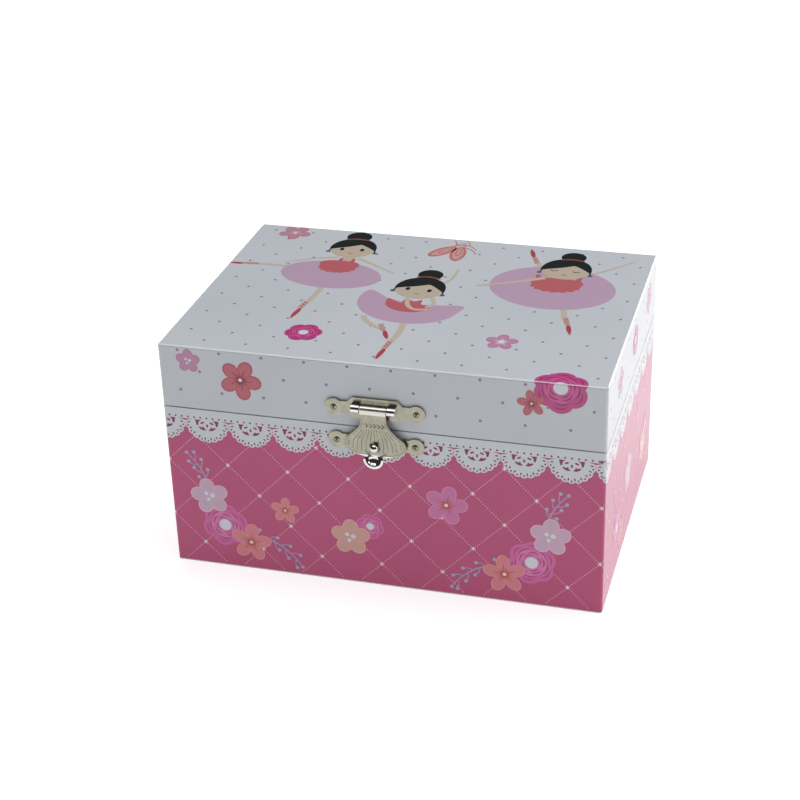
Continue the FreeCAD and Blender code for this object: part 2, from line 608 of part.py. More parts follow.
def mainspring():
    """A flat strip coiled between the arbor and the housing wall."""
    turns, r0, r1, thick = 6, ARBOR_R + 0.6, HOUSING_R - HOUSING_WALL - 0.9, 0.35
    y0, y1 = CROWN_ROOT_Y + 2.0, BED_Y - 1.4
    steps = turns * 12

    def point(i, offset):
        a = 2 * math.pi * turns * i / steps
        r = r0 + (r1 - r0) * i / steps + offset
        return V(r * math.sin(a), y0, BARREL_Z + r * math.cos(a))

    edges = []
    for offset in (0.0, thick):
        curve = Part.BSplineCurve()
        curve.interpolate([point(i, offset) for i in range(steps + 1)])
        edges.append(curve.toShape())
    for i in (0, steps):
        edges.append(Part.makeLine(point(i, 0.0), point(i, thick)))
    face = Part.Face(Part.Wire(Part.__sortEdges__(edges)))
    return face.extrude(V(0, y1 - y0, 0))


def governor_frame():
    """Folded brass frame that carries the governor wheel's shaft and the worm's two bearings."""
    arm = box(-21.6, -20.4, WORM_Y - 2.2, BED_Y, 20.4, 29.0)
    flange = box(-24.4, -20.4, BED_Y - 1.2, BED_Y, 20.4, 29.0)
    upper = box(-21.6, -3.4, GOV_Y - 3.4, GOV_Y + 3.0, 28.0, 29.0)
    front_tongue = box(-6.0, 3.2, WORM_Y - 2.2, GOV_Y - 3.4 + 0.01, 28.0, 29.0)
    bridge = box(-8.0, -3.4, WORM_Y + 2.0, GOV_Y - 3.0, 28.0, 29.0)
    lower = box(-21.6, -3.4, GOV_Y - 2.0, GOV_Y + 3.0, 20.4, 21.4)
    ear = box(2.0, 3.2, WORM_Y - 2.2, WORM_Y + 2.2, 23.0, 29.0)
    frame = fused([arm, flange, upper, front_tongue, bridge, lower, ear])
    shaft_bore = rod(0.5 + BEARING_GAP, (GOV_X, GOV_Y, 19), (GOV_X, GOV_Y, 30))
    worm_bore = rod(0.5 + BEARING_GAP, (-30, WORM_Y, WORM_Z), (10, WORM_Y, WORM_Z))
    return minus(frame, [shaft_bore, worm_bore] + frame_screws())


# ---------------------------------------------------------------- moving train
def music_cylinder():
    """The pinned cylinder: three pins for each of its notes, spread round it."""
    drum = rod(CYL_R, (0, CYL_Y, CYL_Z0), (0, CYL_Y, CYL_Z1))
    notes, pins_per_note = 18, 3
    reed_z0, reed_z1 = CYL_Z0 + 0.4, CYL_Z1 - 0.2
    pins = []
    for note in range(notes):
        z = reed_z0 + (note + 0.5) * (reed_z1 - reed_z0) / notes
        for k in range(pins_per_note):
            a = math.radians((note * 137.5 + k * 117.0 + 23.0 * (note % 3)) % 360)
            c, s = math.cos(a), math.sin(a)
            pins.append(
                rod(PIN_R, ((CYL_R - 0.3) * c, CYL_Y + (CYL_R - 0.3) * s, z),
                    ((CYL_R + PIN_H) * c, CYL_Y + (CYL_R + PIN_H) * s, z))
            )
    bore = rod(CYL_ARBOR_R, (0, CYL_Y, CYL_Z0 - 1), (0, CYL_Y, CYL_Z1 + 1))
    return drum.multiFuse(pins).cut(bore)


def cylinder_train():
    bore = rod(CYL_ARBOR_R, (0, CYL_Y, 20), (0, CYL_Y, 60))
    add("cylinder_arbor", rod(CYL_ARBOR_R, (0, CYL_Y, 22.4), (0, CYL_Y, SOCKET_Z1)))
    add("music_cylinder", music_cylinder())
    pinion = tapered_pinion(PINION_TEETH, PINION_ROOT, PINION_TIP, 0.40, 0.16, PINION_Z0, PINION_Z1, 90)
    add("cylinder_pinion", moved(pinion, 0, CYL_Y, 0).cut(bore))
    gear = involute_gear(CYL_GEAR_TEETH, TRAIN_MODULE, CYL_GEAR_Z0, CYL_GEAR_Z1, 0.07, phase=GOV_ANGLE)
    add("cylinder_gear", moved(gear, 0, CYL_Y, 0).cut(bore))
    socket = fused(
        [
            rod(3.3, (0, CYL_Y, SOCKET_Z0), (0, CYL_Y, SOCKET_Z1)),
            rod(1.6, (0, CYL_Y, SOCKET_Z1), (0, CYL_Y, SOCKET_Z1 + 2.2)),
        ]
    )
    add("spring_socket", socket.cut(bore))


def winder():
    """Arbor, crown wheel and key, which turn together."""
    flat_end = HALF_D + 8.0
    add("winding_arbor", rod(ARBOR_R, (0, CROWN_ROOT_Y, BARREL_Z), (0, flat_end, BARREL_Z)))
    bore = rod(ARBOR_R, (0, 30, BARREL_Z), (0, flat_end, BARREL_Z))
    add("crown_wheel", crown_wheel().cut(bore))
    hub = rod(3.6, (0, HALF_D + 1.2, BARREL_Z), (0, HALF_D + 9.2, BARREL_Z))
    wings = []
    for side in (-1, 1):
        outer = rod(6.0, (side * 6.6, HALF_D + 10.4, BARREL_Z - 0.8), (side * 6.6, HALF_D + 10.4, BARREL_Z + 0.8))
        hole = rod(3.2, (side * 7.4, HALF_D + 10.4, BARREL_Z - 2), (side * 7.4, HALF_D + 10.4, BARREL_Z + 2))
        wings.append((outer, hole))
    web = box(-4, 4, HALF_D + 5.0, HALF_D + 11.5, BARREL_Z - 0.8, BARREL_Z + 0.8)
    key = fused([hub, web] + [w[0] for w in wings])
    add("winding_key", minus(key, [w[1] for w in wings] + [bore]))


def governor():
    """The wheel that steps the cylinder's turn up, and the worm and fan that hold its speed."""
    shaft = rod(0.5, (GOV_X, GOV_Y, 20.4), (GOV_X, GOV_Y, 32.5))
    half_tooth = 180.0 / GOV_PINION_TEETH
    pinion = involute_gear(
        GOV_PINION_TEETH, TRAIN_MODULE, 30.8, 32.4, 0.07, phase=GOV_ANGLE + 180 + half_tooth
    )
    add("governor_shaft", fused([moved(pinion, GOV_X, GOV_Y, 0), shaft]))
    wheel = involute_gear(WORM_WHEEL_TEETH, WORM_MODULE, WORM_Z - 0.8, WORM_Z + 0.8, 0.22, phase=-90, addendum=0.7)
    add("worm_wheel", moved(wheel, GOV_X, GOV_Y, 0).cut(shaft))

    turns = 5
    crest, foot, skin = 0.10, 0.24, 0.08
    profile = [
        (WORM_ROOT - skin, -foot), (WORM_TIP, -crest), (WORM_TIP, crest), (WORM_ROOT - skin, foot),
    ]
    ridge = helix_ridge(WORM_PITCH, turns, WORM_R, profile)
    ridge.translate(V(0, 0, -WORM_PITCH * turns / 2))
    core = rod(WORM_ROOT, (0, 0, -WORM_LEN / 2), (0, 0, WORM_LEN / 2))
    worm = core.fuse(ridge)
    worm.rotate(V(0, 0, 0), Z_AXIS, WORM_PHASE_DEG)
    worm.rotate(V(0, 0, 0), Y_AXIS, 90)
    worm.translate(V(GOV_X, WORM_Y, WORM_Z))
    axle = rod(0.5, (-21.6, WORM_Y, WORM_Z), (3.2, WORM_Y, WORM_Z))
    add("governor_worm", worm.fuse(axle).removeSplitter())

    blades = [rod(1.2, (FAN_X - FAN_LEN / 2, WORM_Y, WORM_Z), (FAN_X + FAN_LEN / 2, WORM_Y, WORM_Z))]
    for side in (-1, 1):
        zs = sorted((WORM_Z + side * 0.6, WORM_Z + side * FAN_R))
        blades.append(box(FAN_X - FAN_LEN / 2, FAN_X + FAN_LEN / 2, WORM_Y - 0.3, WORM_Y + 0.3, zs[0], zs[1]))
    add("governor_fan", fused(blades).cut(axle))


# ---------------------------------------------------------------- stop wire
def stop_wire():
    """The wire that the lid presses down on the fan, its guides and its return spring."""
    top_z = LINED_CEILING - 0.3
    post_top = 30.0
    post = box(STOP_X - 4, STOP_X + 4, WORM_Y - 4, WORM_Y + 4, FLOOR_TOP, post_top)
    post_bore = rod(STOP_R + 0.08, (STOP_X, WORM_Y, FLOOR_TOP + 3), (STOP_X, WORM_Y, post_top + 1))
    add("stop_wire_guide", post.cut(post_bore))
    bush = fused(
        [
            rod(2.0, (STOP_X, WORM_Y, DECK_BOTTOM), (STOP_X, WORM_Y, DECK_TOP + LINING)),
            rod(3.0, (STOP_X, WORM_Y, DECK_TOP + LINING), (STOP_X, WORM_Y, DECK_TOP + LINING + 0.8)),
        ]
    )
    bush_bore = rod(STOP_R + 0.08, (STOP_X, WORM_Y, DECK_BOTTOM - 1), (STOP_X, WORM_Y, DECK_TOP + 3))
    add("stop_wire_bush", bush.cut(bush_bore))
    fan_top = WORM_Z + FAN_R
    collar_z = 40.0
    wire = fused(
        [
            rod(STOP_R, (STOP_X, WORM_Y, STOP_LOW_Z), (STOP_X, WORM_Y, top_z - STOP_R)),
            ball(STOP_R, (STOP_X, WORM_Y, top_z - STOP_R)),
            rod(STOP_R, (STOP_X, WORM_Y, STOP_BEND_Z), (FAN_X, WORM_Y, STOP_BEND_Z)),
            ball(STOP_R, (FAN_X, WORM_Y, STOP_BEND_Z)),
            rod(STOP_R, (FAN_X, WORM_Y, STOP_BEND_Z), (FAN_X, WORM_Y, fan_top + 0.5)),
            rod(2.4, (STOP_X, WORM_Y, collar_z), (STOP_X, WORM_Y, collar_z + 1.2)),
        ]
    )
    add("stop_wire", wire)
    add("stop_wire_spring", coil(lambda s: (WORM_Y, post_top + 0.3 + s, 0.0), 0.0, 9.4, STOP_X, 1.6, 0.2, 6))


def coil(centreline, s0, s1, x, radius, wire_r, turns):
    """A round wire coiled about a centreline in the plane of constant x, between two distances along it.

    centreline(s) gives y, z and how far the line has turned from upright towards -Y, in radians.
    """
    per_turn = 10
    points = []
    for i in range(turns * per_turn + 1):
        y, z, lean = centreline(s0 + (s1 - s0) * i / (turns * per_turn))
        a = 2 * math.pi * i / per_turn
        across = radius * math.sin(a)
        points.append(V(x + radius * math.cos(a), y + across * math.cos(lean), z + across * math.sin(lean)))
    curve = Part.BSplineCurve()
    curve.interpolate(points)
    start = curve.tangent(curve.FirstParameter)[0]
    ring = Part.Wire(Part.makeCircle(wire_r, points[0], start))
    sweep = Part.BRepOffsetAPI.MakePipeShell(Part.Wire(curve.toShape()))
    sweep.setFrenetMode(False)
    sweep.add(ring)
    sweep.build()
    sweep.makeSolid()
    return sweep.shape()


# ---------------------------------------------------------------- dancer
def laid_down(shape):
    """Takes a shape modelled upright above the spring's top end to where it lies under the closed lid."""
    copy = turned(shape, (0, 0, 0), X_AXIS, 90)
    copy.translate(V(0, *SPRING_END))
    return copy


def limb(points, radius):
    """Straight lengths of limb with a slightly fuller ball at each joint."""
    lengths = [rod(radius, a, b) for a, b in zip(points, points[1:])]
    return lengths + [ball(radius * 1.06, p) for p in points]


def dancer_figure():
    """A moulded figure on one toe, the other foot drawn up to the knee and the arms overhead."""
    foot_z, hip_z, waist_z, shoulder_z, head_z = 1.5, 20.5, 24.0, 28.6, 34.0
    torso = [
        (0, hip_z - 1.4), (1.6, hip_z - 1.1), (2.4, hip_z + 0.3), (2.1, hip_z + 1.8), (1.6, waist_z),
        (2.0, waist_z + 2.0), (2.4, shoulder_z - 1.0), (1.9, shoulder_z + 0.2), (0.9, shoulder_z + 0.8),
        (0.8, head_z - 2.5), (0, head_z - 2.5),
    ]
    leg = [(0, foot_z), (0.7, foot_z), (1.0, foot_z + 4), (1.25, foot_z + 7), (1.1, 11.5), (1.7, hip_z), (0, hip_z)]
    shapes = [
        turned_solid(torso),
        turned_solid(leg, x=0.7),
        *limb([(-0.9, 0, hip_z - 0.2), (-5.0, -1.6, 14.2), (0.1, -0.8, 11.2)], 0.92),
        ball(3.1, (0, 0, head_z)),
        ball(1.6, (0, 0.3, head_z + 3.9)),
    ]
    for side in (-1, 1):
        arm = [(1.7, 0, 28.0), (5.6, -0.6, 33.0), (4.4, -0.6, 38.5), (0.9, -0.4, 41.6)]
        shapes += limb([(side * x, y, z) for x, y, z in arm], 0.6)
    return fused(shapes)


def spring_half(pivot, first, lean0):
    """The centreline of half the bent spring, as a function of the distance along the straight spring.

    Each point turns about the half's pivot by up to 45 degrees. How far it turns eases in with its own
    distance along the chord, so it is found by repeating the turn until it settles. The half opens out
    exactly straight.
    """
    bend, quarter = math.pi / 4, SPRING_LEN / 4
    foot = (pivot[0] + quarter * math.sin(lean0), pivot[1] - quarter * math.cos(lean0))
    far = lean0 + bend
    head = (pivot[0] - quarter * math.sin(far), pivot[1] + quarter * math.cos(far))
    chord = (head[0] - foot[0], head[1] - foot[1])
    chord_sq = chord[0] ** 2 + chord[1] ** 2

    def centreline(s):
        reach = s - first - quarter
        turn = bend / 2
        for _ in range(80):
            lean = lean0 + turn
            y, z = pivot[0] - reach * math.sin(lean), pivot[1] + reach * math.cos(lean)
            t = ((y - foot[0]) * chord[0] + (z - foot[1]) * chord[1]) / chord_sq
            t = min(1.0, max(0.0, t))
            turn = 0.5 * turn + 0.5 * bend * t * t * (3 - 2 * t)
        return y, z, lean0 + turn

    return centreline


def dancer():
    figure = dancer_figure()
    plug = fused([rod(3.0, (0, 0, 0), (0, 0, 1.5)), rod(1.6, (0, 0, -2.2), (0, 0, 0))])
    rim_z, waist_z, thick = 19.4, 21.8, 0.9
    profile = [(2.2, waist_z), (TUTU_R, rim_z), (TUTU_R, rim_z + 0.5), (2.2, waist_z + thick)]
    tutu = turned_solid(profile)
    add("dancer_figure", laid_down(figure.cut(plug)))
    add("dancer_plug", laid_down(plug))
    add("dancer_tutu", laid_down(tutu.cut(figure)))

    half, edge, turns = SPRING_LEN / 2, SPRING_WIRE_R + 0.02, SPRING_TURNS // 2
    low, high = spring_half(LOW_BEND, 0.0, 0.0), spring_half(HIGH_BEND, half, math.pi / 4)
    add("spring_lower_half", coil(low, edge, half, 0, SPRING_R, SPRING_WIRE_R, turns))
    add("spring_upper_half", coil(high, half, SPRING_LEN - edge, 0, SPRING_R, SPRING_WIRE_R, turns))


# ---------------------------------------------------------------- assembly
def make_holes():
    """Cuts every fastener and shaft hole in the boards and the wraps."""
    def take(name, cutters):
        parts[name] = minus(parts[name], cutters)

    def solids(*names):
        return [s for n in names for s in parts[n].Solids]

    key_hole = rod(4.4, (0, IN_Y - 0.5, BARREL_Z), (0, HALF_D + 1, BARREL_Z))
    in_base = solids("base_nails", "latch_stud", "movement_screws") + [key_hole]
    for name in ("base_front_board", "base_back_board", "base_wrap"):
        take(name, in_base)
    for name in ("lid_front_board", "lid_back_board", "lid_wrap"):
        take(name, solids("lid_nails"))


def foot_sheet():
    return rounded_block(HALF_W, HALF_D, 0, FOOT_SHEET, CORNER_R)


def build():
    base_boards()
    add("base_wrap", base_wrap())
    add("foot_sheet", foot_sheet())
    base_interior()
    lid_boards()
    lid_shells()
    lid_interior()
    hinge_nails, latch_nails = hinges(), latch()
    for i, name in enumerate(("base_nails", "lid_nails")):
        add(name, *hinge_nails[i], *latch_nails[i])
    movement_frame()
    add("mainspring", mainspring())
    add("governor_frame", governor_frame())
    cylinder_train()
    winder()
    governor()
    stop_wire()
    dancer()
    make_holes()


def write():
    os.makedirs("parts", exist_ok=True)
    for name, shape in parts.items():
        if not shape.isValid():
            print("not valid:", name)
        shape.exportStep(f"parts/{name}.step")
    print(len(parts), "nodes")


if __name__ == "__main__":
    build()
    write()
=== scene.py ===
"""Looks for the ballerina jewellery box: printed paper, nickel latch, lined inside, dancer and movement.

The printed pictures are thin films of ink cut to shape and laid on the box's paper, in millimetres on two
flat sheets. The base's sheet runs round the walls: u is along the wall, from the front face's middle to the
right, and v is the height. The lid's sheet is its top, x and y, with the four walls folded out flat.
"""

import json
from math import asin, atan2, ceil, copysign, cos, degrees, hypot, pi, radians, sin, sqrt

import bmesh
import bpy
from mathutils import Matrix, Vector
from mathutils.geometry import delaunay_2d_cdt


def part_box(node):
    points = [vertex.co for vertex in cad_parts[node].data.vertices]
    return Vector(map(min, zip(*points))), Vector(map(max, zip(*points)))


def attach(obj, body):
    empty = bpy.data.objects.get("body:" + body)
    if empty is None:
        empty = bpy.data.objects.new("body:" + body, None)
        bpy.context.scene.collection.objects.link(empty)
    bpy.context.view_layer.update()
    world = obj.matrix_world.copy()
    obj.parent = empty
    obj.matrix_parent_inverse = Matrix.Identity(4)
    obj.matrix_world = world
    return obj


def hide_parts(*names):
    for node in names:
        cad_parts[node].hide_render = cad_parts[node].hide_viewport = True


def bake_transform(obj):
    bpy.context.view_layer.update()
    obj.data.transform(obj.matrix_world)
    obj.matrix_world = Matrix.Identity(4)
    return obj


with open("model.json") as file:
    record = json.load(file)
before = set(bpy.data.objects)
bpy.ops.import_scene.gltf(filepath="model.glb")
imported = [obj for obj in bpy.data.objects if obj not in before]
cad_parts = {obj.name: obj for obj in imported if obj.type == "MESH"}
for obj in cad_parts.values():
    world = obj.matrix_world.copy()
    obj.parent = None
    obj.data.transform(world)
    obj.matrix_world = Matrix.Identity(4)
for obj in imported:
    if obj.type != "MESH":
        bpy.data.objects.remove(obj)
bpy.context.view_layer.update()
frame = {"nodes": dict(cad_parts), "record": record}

MM = 0.001
nodes = frame["nodes"]


def box_mm(node):
    """A CAD node's lowest and highest corner in millimetres."""
    low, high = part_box(node)
    return low / MM, high / MM


HALF_W, HALF_D, BASE_TOP = box_mm("base_wrap")[1]
LID_BOTTOM, LID_TOP = (corner.z for corner in box_mm("lid_wrap"))
CORNER_R, LID_EDGE_R = 1.0, 0.8  # how round the base's upright edges and the lid's top edges are
BEND_STEPS = (-1, -0.5, 0, 0.5, 1)  # where ink is cut over an edge, from one end of the bend to the other
EIGHTHS = [pi / 4 * k for k in range(8)]  # the directions of a ring of eight points
LACE_PITCH, LACE_FIRST = 15.47, -67.5  # the width of a scallop of lace, and where one begins
LACE_V, LACE_RING = 56.4, 19  # the height of the scallops' middles, and how many openings ring each of them
FILM_DEPTH, FILM_STEP = 0.03, 0.012  # how far ink reaches into the paper, and the height of each layer
LATCH_MARK_LIFT = 0.015  # how far the latch's dark marks, its engraving and the painted shade at its nails, stand off its metal
PAPER_GLOSS = 0.25  # the roughness of the box's varnished paper and its inks
FLOOR_GLOW = 0.43  # how strongly the floor lights the box from below
SKY_GLOW = 0.03  # how strongly the white surroundings light the box


# ---------- materials
def linear(srgb):
    """Linear light from 0 to 255 screen values."""
    return tuple(c / 255 / 12.92 if c <= 10 else ((c / 255 + 0.055) / 1.055) ** 2.4 for c in srgb)


def material(name, srgb, roughness=0.6, metallic=0.0, **inputs):
    """A plain Principled material. Extra inputs are Principled socket names with underscores for spaces."""
    mat = bpy.data.materials.new(name)
    mat.use_nodes = True
    shader = mat.node_tree.nodes["Principled BSDF"]
    shader.inputs["Base Color"].default_value = (*linear(srgb), 1)
    shader.inputs["Roughness"].default_value = roughness
    shader.inputs["Metallic"].default_value = metallic
    for key, value in inputs.items():
        shader.inputs[key.replace("_", " ")].default_value = value
    return mat


def paper(name, srgb):
    """Printed paper under a thin coat of varnish."""
    return material(name, srgb, PAPER_GLOSS, Specular_IOR_Level=0.35, Coat_Weight=0.4, Coat_Roughness=0.2)


def add_node(tree, kind, **inputs):
    """A new shader node. Inputs are socket names with underscores for spaces."""
    node = tree.nodes.new(f"ShaderNode{kind}")
    for key, value in inputs.items():
        node.inputs[key.replace("_", " ")].default_value = value
    return node


def noise(tree, scale, detail, stretch=(1, 1, 1)):
    """Noise in object space. Scale is per metre."""
    coords = add_node(tree, "TexCoord")
    mapping = add_node(tree, "Mapping", Scale=stretch)
    texture = add_node(tree, "TexNoise", Scale=scale, Detail=detail)
    tree.links.new(coords.outputs["Object"], mapping.inputs["Vector"])
    tree.links.new(mapping.outputs["Vector"], texture.inputs["Vector"])
    return texture.outputs["Fac"]


def mottled(mat, srgb, scale):
    """Mixes a second colour into a material in patches."""
    tree = mat.node_tree
    base = tree.nodes["Principled BSDF"].inputs["Base Color"]
    ramp = add_node(tree, "ValToRGB")
    first, second = ramp.color_ramp.elements
    first.position, second.position = 0.35, 0.65
    first.color, second.color = base.default_value, (*linear(srgb), 1)
    tree.links.new(noise(tree, scale, 3.0), ramp.inputs["Fac"])
    tree.links.new(ramp.outputs["Color"], base)
    return mat


def bumpy(mat, scale, distance, stretch=(1, 1, 1)):
    """Fine relief. Distance is in metres."""
    tree = mat.node_tree
    bump = add_node(tree, "Bump", Strength=0.5, Distance=distance)
    tree.links.new(noise(tree, scale, 2.0, stretch), bump.inputs["Height"])
    tree.links.new(bump.outputs["Normal"], tree.nodes["Principled BSDF"].inputs["Normal"])
    return mat


def grained(mat):
    """The fine woven grain of the box's papers."""
    return bumpy(mat, 900, 0.00002)


def satin(mat):
    """The faint unevenness of turned and stamped metal."""
    return bumpy(mat, 1500, 0.00001)


def banded(mat, axis, at, side, value, socket="Base Color"):
    """Gives a material another value above (side 1) or below (side -1) a place in metres on an axis.

    The value is a colour where the socket is linked already, and a plain number where it isn't.
    """
    tree = mat.node_tree
    target = tree.nodes["Principled BSDF"].inputs[socket]
    coords = add_node(tree, "TexCoord")
    split = add_node(tree, "SeparateXYZ")
    test = add_node(tree, "Math")
    test.operation = "GREATER_THAN" if side > 0 else "LESS_THAN"
    test.inputs[1].default_value = at
    mix = add_node(tree, "Mix")
    mix.data_type = "RGBA"
    if target.links:
        tree.links.new(target.links[0].from_socket, mix.inputs["A"])
        mix.inputs["B"].default_value = (*linear(value), 1)
    else:
        plain = target.default_value
        mix.inputs["A"].default_value = (plain, plain, plain, 1)
        mix.inputs["B"].default_value = (value, value, value, 1)
    tree.links.new(coords.outputs["Object"], split.inputs["Vector"])
    tree.links.new(split.outputs[axis], test.inputs[0])
    tree.links.new(test.outputs[0], mix.inputs["Factor"])
    tree.links.new(mix.outputs["Result"], target)
    return mat


def paint(mat, *names):
    """Gives CAD nodes one material."""
    for name in names:
        nodes[name].data.materials.clear()
        nodes[name].data.materials.append(mat)


# ---------- flat shapes, in millimetres
def polar(u, v, r, a):
    """The point a distance r from (u, v), in a direction in radians."""
    return u + r * cos(a), v + r * sin(a)


def circle(u, v, r, count=20):
    return [polar(u, v, r, 2 * pi * i / count) for i in range(count)]


def oval(u, v, ru, rv, tilt=0.0, count=32):
    """An ellipse turned by tilt degrees."""
    c, s = cos(radians(tilt)), sin(radians(tilt))
    return [(u + x * ru * c - y * rv * s, v + x * ru * s + y * rv * c) for x, y in circle(0, 0, 1, count)]


def smooth(points, closed=True, steps=5):
    """Points along a Catmull-Rom curve through the given ones."""
    n = len(points)
    out = []
    for i in range(n if closed else n - 1):
        p = [points[(i + k) % n if closed else min(max(i + k, 0), n - 1)] for k in (-1, 0, 1, 2)]
        for j in range(steps):
            t = j / steps
            w = (
                (-t + 2 * t * t - t**3) / 2,
                (2 - 5 * t * t + 3 * t**3) / 2,
                (t + 4 * t * t - 3 * t**3) / 2,
                (-t * t + t**3) / 2,
            )
            out.append(tuple(sum(w[k] * p[k][axis] for k in range(4)) for axis in (0, 1)))
    if not closed:
        out.append(points[-1])
    return out


def stroke(points, widths, steps=5, bend=True):
    """A pen line of changing width. The widths are spread evenly from one end to the other."""
    path = smooth(points, closed=False, steps=steps) if bend else points
    left, right = [], []
    for i, (u, v) in enumerate(path):
        a, b = path[max(i - 1, 0)], path[min(i + 1, len(path) - 1)]
        along = atan2(b[1] - a[1], b[0] - a[0])
        at = i / (len(path) - 1) * (len(widths) - 1)
        k = min(int(at), len(widths) - 2)
        half = (widths[k] + (widths[k + 1] - widths[k]) * (at - k)) / 2
        du, dv = -half * sin(along), half * cos(along)
        left.append((u + du, v + dv))
        right.append((u - du, v - dv))
    return left + right[::-1]


def lobes(u, v, ovals, count=96):
    """The outline of overlapping ovals seen from the point (u, v), which lies inside them all.

    Each oval is (distance of its centre, direction in degrees, radius along, radius across).
    """
    out = []
    for i in range(count):
        a = 2 * pi * i / count
        reach = 0.01
        for far, direction, along, across in ovals:
            b = a - radians(direction)
            p = cos(b) ** 2 / along**2 + sin(b) ** 2 / across**2
            q = -2 * far * cos(b) / along**2
            r = far**2 / along**2 - 1
            root = q * q - 4 * p * r
            if root >= 0:
                reach = max(reach, (-q + sqrt(root)) / (2 * p))
        out.append(polar(u, v, reach, a))
    return out


def spun(shape, u, v, turn, scale=1.0):
    """A shape drawn about (0, 0), turned by degrees, sized and moved to (u, v)."""
    c, s = cos(radians(turn)) * scale, sin(radians(turn)) * scale
    return [(u + x * c - y * s, v + x * s + y * c) for x, y in shape]


# ---------- sheets folded round the box
def on_base(u, v, lift):
    """A point of the base's sheet in the frame, lifted off the paper."""
    lap = HALF_W + HALF_D
    walls = ((-lap, HALF_D, HALF_W, 180), (0, HALF_W, HALF_D, -90), (lap, HALF_D, HALF_W, 0),
             (2 * lap, HALF_W, HALF_D, 90))
    middle, half, off, facing = min(walls, key=lambda wall: abs(u - wall[0]) - wall[1])
    along = u - middle
    facing = radians(facing)
    edge = half - CORNER_R
    if abs(along) <= edge:
        x, y = off + lift, along
    else:
        a = copysign((abs(along) - edge) / CORNER_R * pi / 4, along)
        x = off - CORNER_R + (CORNER_R + lift) * cos(a)
        y = copysign(edge, along) + (CORNER_R + lift) * sin(a)
    c, s = cos(facing), sin(facing)
    return ((x * c - y * s) * MM, (x * s + y * c) * MM, v * MM)


def on_lid(u, v, lift):
    """A point of the lid's sheet in the frame. Past the top's edges it runs down the walls."""

    def fold(at, half):
        """For a sheet folded at half: distance out from the middle, distance down, and slope in radians."""
        reach = abs(at) - (half - LID_EDGE_R)
        if reach <= 0:
            return abs(at), 0.0, 0.0
        if reach < 2 * LID_EDGE_R:
            a = reach / (2 * LID_EDGE_R) * pi / 2
            return half - LID_EDGE_R + LID_EDGE_R * sin(a), LID_EDGE_R * (1 - cos(a)), a
        return half, LID_EDGE_R + reach - 2 * LID_EDGE_R, pi / 2

    x, down_x, ax = fold(u, HALF_W)
    y, down_y, ay = fold(v, HALF_D)
    x = copysign(x + lift * sin(ax), u)
    y = copysign(y + lift * sin(ay), v)
    z = LID_TOP - max(down_x, down_y) + lift * min(cos(ax), cos(ay))
    return (x * MM, y * MM, z * MM)


def cuts(axis, edges, r):
    """Where a sheet bends over edges that are r round: (axis, position) of each cut across the ink."""
    return [(axis, at + step * r) for at in edges for step in BEND_STEPS]


BASE_EDGES = [HALF_W, HALF_W + 2 * HALF_D, 3 * HALF_W + 2 * HALF_D, -HALF_W, -HALF_W - 2 * HALF_D]
SHEETS = {
    "base": (on_base, cuts(0, BASE_EDGES, CORNER_R)),
    "lid": (on_lid, cuts(0, (-HALF_W, HALF_W), LID_EDGE_R) + cuts(1, (-HALF_D, HALF_D), LID_EDGE_R)),
}


def flat_faces(shape):
    """Corners and faces of a shape: one loop, or a list of loops of which the later ones are holes."""
    if isinstance(shape[0][0], (int, float)):
        return list(shape), [list(range(len(shape)))]
    corners, loops = [], []
    for loop in shape:
        loops.append(list(range(len(corners), len(corners) + len(loop))))
        corners += [Vector(p) for p in loop]
    verts, _, faces, *_ = delaunay_2d_cdt(corners, [], loops, 5, 1e-5)
    return [(p.x, p.y) for p in verts], [list(f) for f in faces]


def cut_faces(corners, faces, bends):
    """The same faces, split where the sheet bends."""
    crossed = []
    for axis, at in bends:
        values = [p[axis] for p in corners]
        if min(values) < at - 1e-6 and max(values) > at + 1e-6:
            crossed.append((axis, at))
    if not crossed:
        return corners, faces
    bm = bmesh.new()
    made = [bm.verts.new((u, v, 0)) for u, v in corners]
    for face in faces:
        bm.faces.new([made[i] for i in face])
    for axis, at in crossed:
        point = (at, 0, 0) if axis == 0 else (0, at, 0)
        normal = (1, 0, 0) if axis == 0 else (0, 1, 0)
        geom = bm.verts[:] + bm.edges[:] + bm.faces[:]
        bmesh.ops.bisect_plane(bm, geom=geom, dist=1e-6, plane_co=point, plane_no=normal)
    bm.verts.index_update()
    corners = [(p.co.x, p.co.y) for p in bm.verts]
    faces = [[p.index for p in f.verts] for f in bm.faces]
    bm.free()
    return corners, faces


def closed_films(shapes, sheet, height):
    """Vertices and faces of closed films whose tops stand a height off the paper."""
    place, bends = SHEETS[sheet]
    verts, faces = [], []
    for shape in shapes:
        corners, flat = cut_faces(*flat_faces(shape), bends)
        start, count = len(verts), len(corners)
        verts += [place(u, v, height) for u, v in corners]
        verts += [place(u, v, -FILM_DEPTH) for u, v in corners]
        edges = set()
        for face in flat:
            area = sum(
                corners[a][0] * corners[b][1] - corners[b][0] * corners[a][1]
                for a, b in zip(face, face[1:] + face[:1])
            )
            loop = face if area > 0 else face[::-1]
            faces.append([start + i for i in loop])
            faces.append([start + count + i for i in loop[::-1]])
            for a, b in zip(loop, loop[1:] + loop[:1]):
                if (b, a) in edges:
                    edges.remove((b, a))
                else:
                    edges.add((a, b))
        faces += [[start + b, start + a, start + count + a, start + count + b] for a, b in sorted(edges)]
    return verts, faces


def new_object(name, data):
    """A new object in the scene."""
    obj = bpy.data.objects.new(name, data)
    bpy.context.scene.collection.objects.link(obj)
    return obj


def piece(name, verts, faces, mat, body):
    """A mesh object with one material that rides on a body. Coordinates are in metres."""
    mesh = bpy.data.meshes.new(name)
    mesh.from_pydata(verts, [], faces)
    mesh.materials.append(mat)
    obj = new_object(name, mesh)
    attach(obj, body)
    return obj


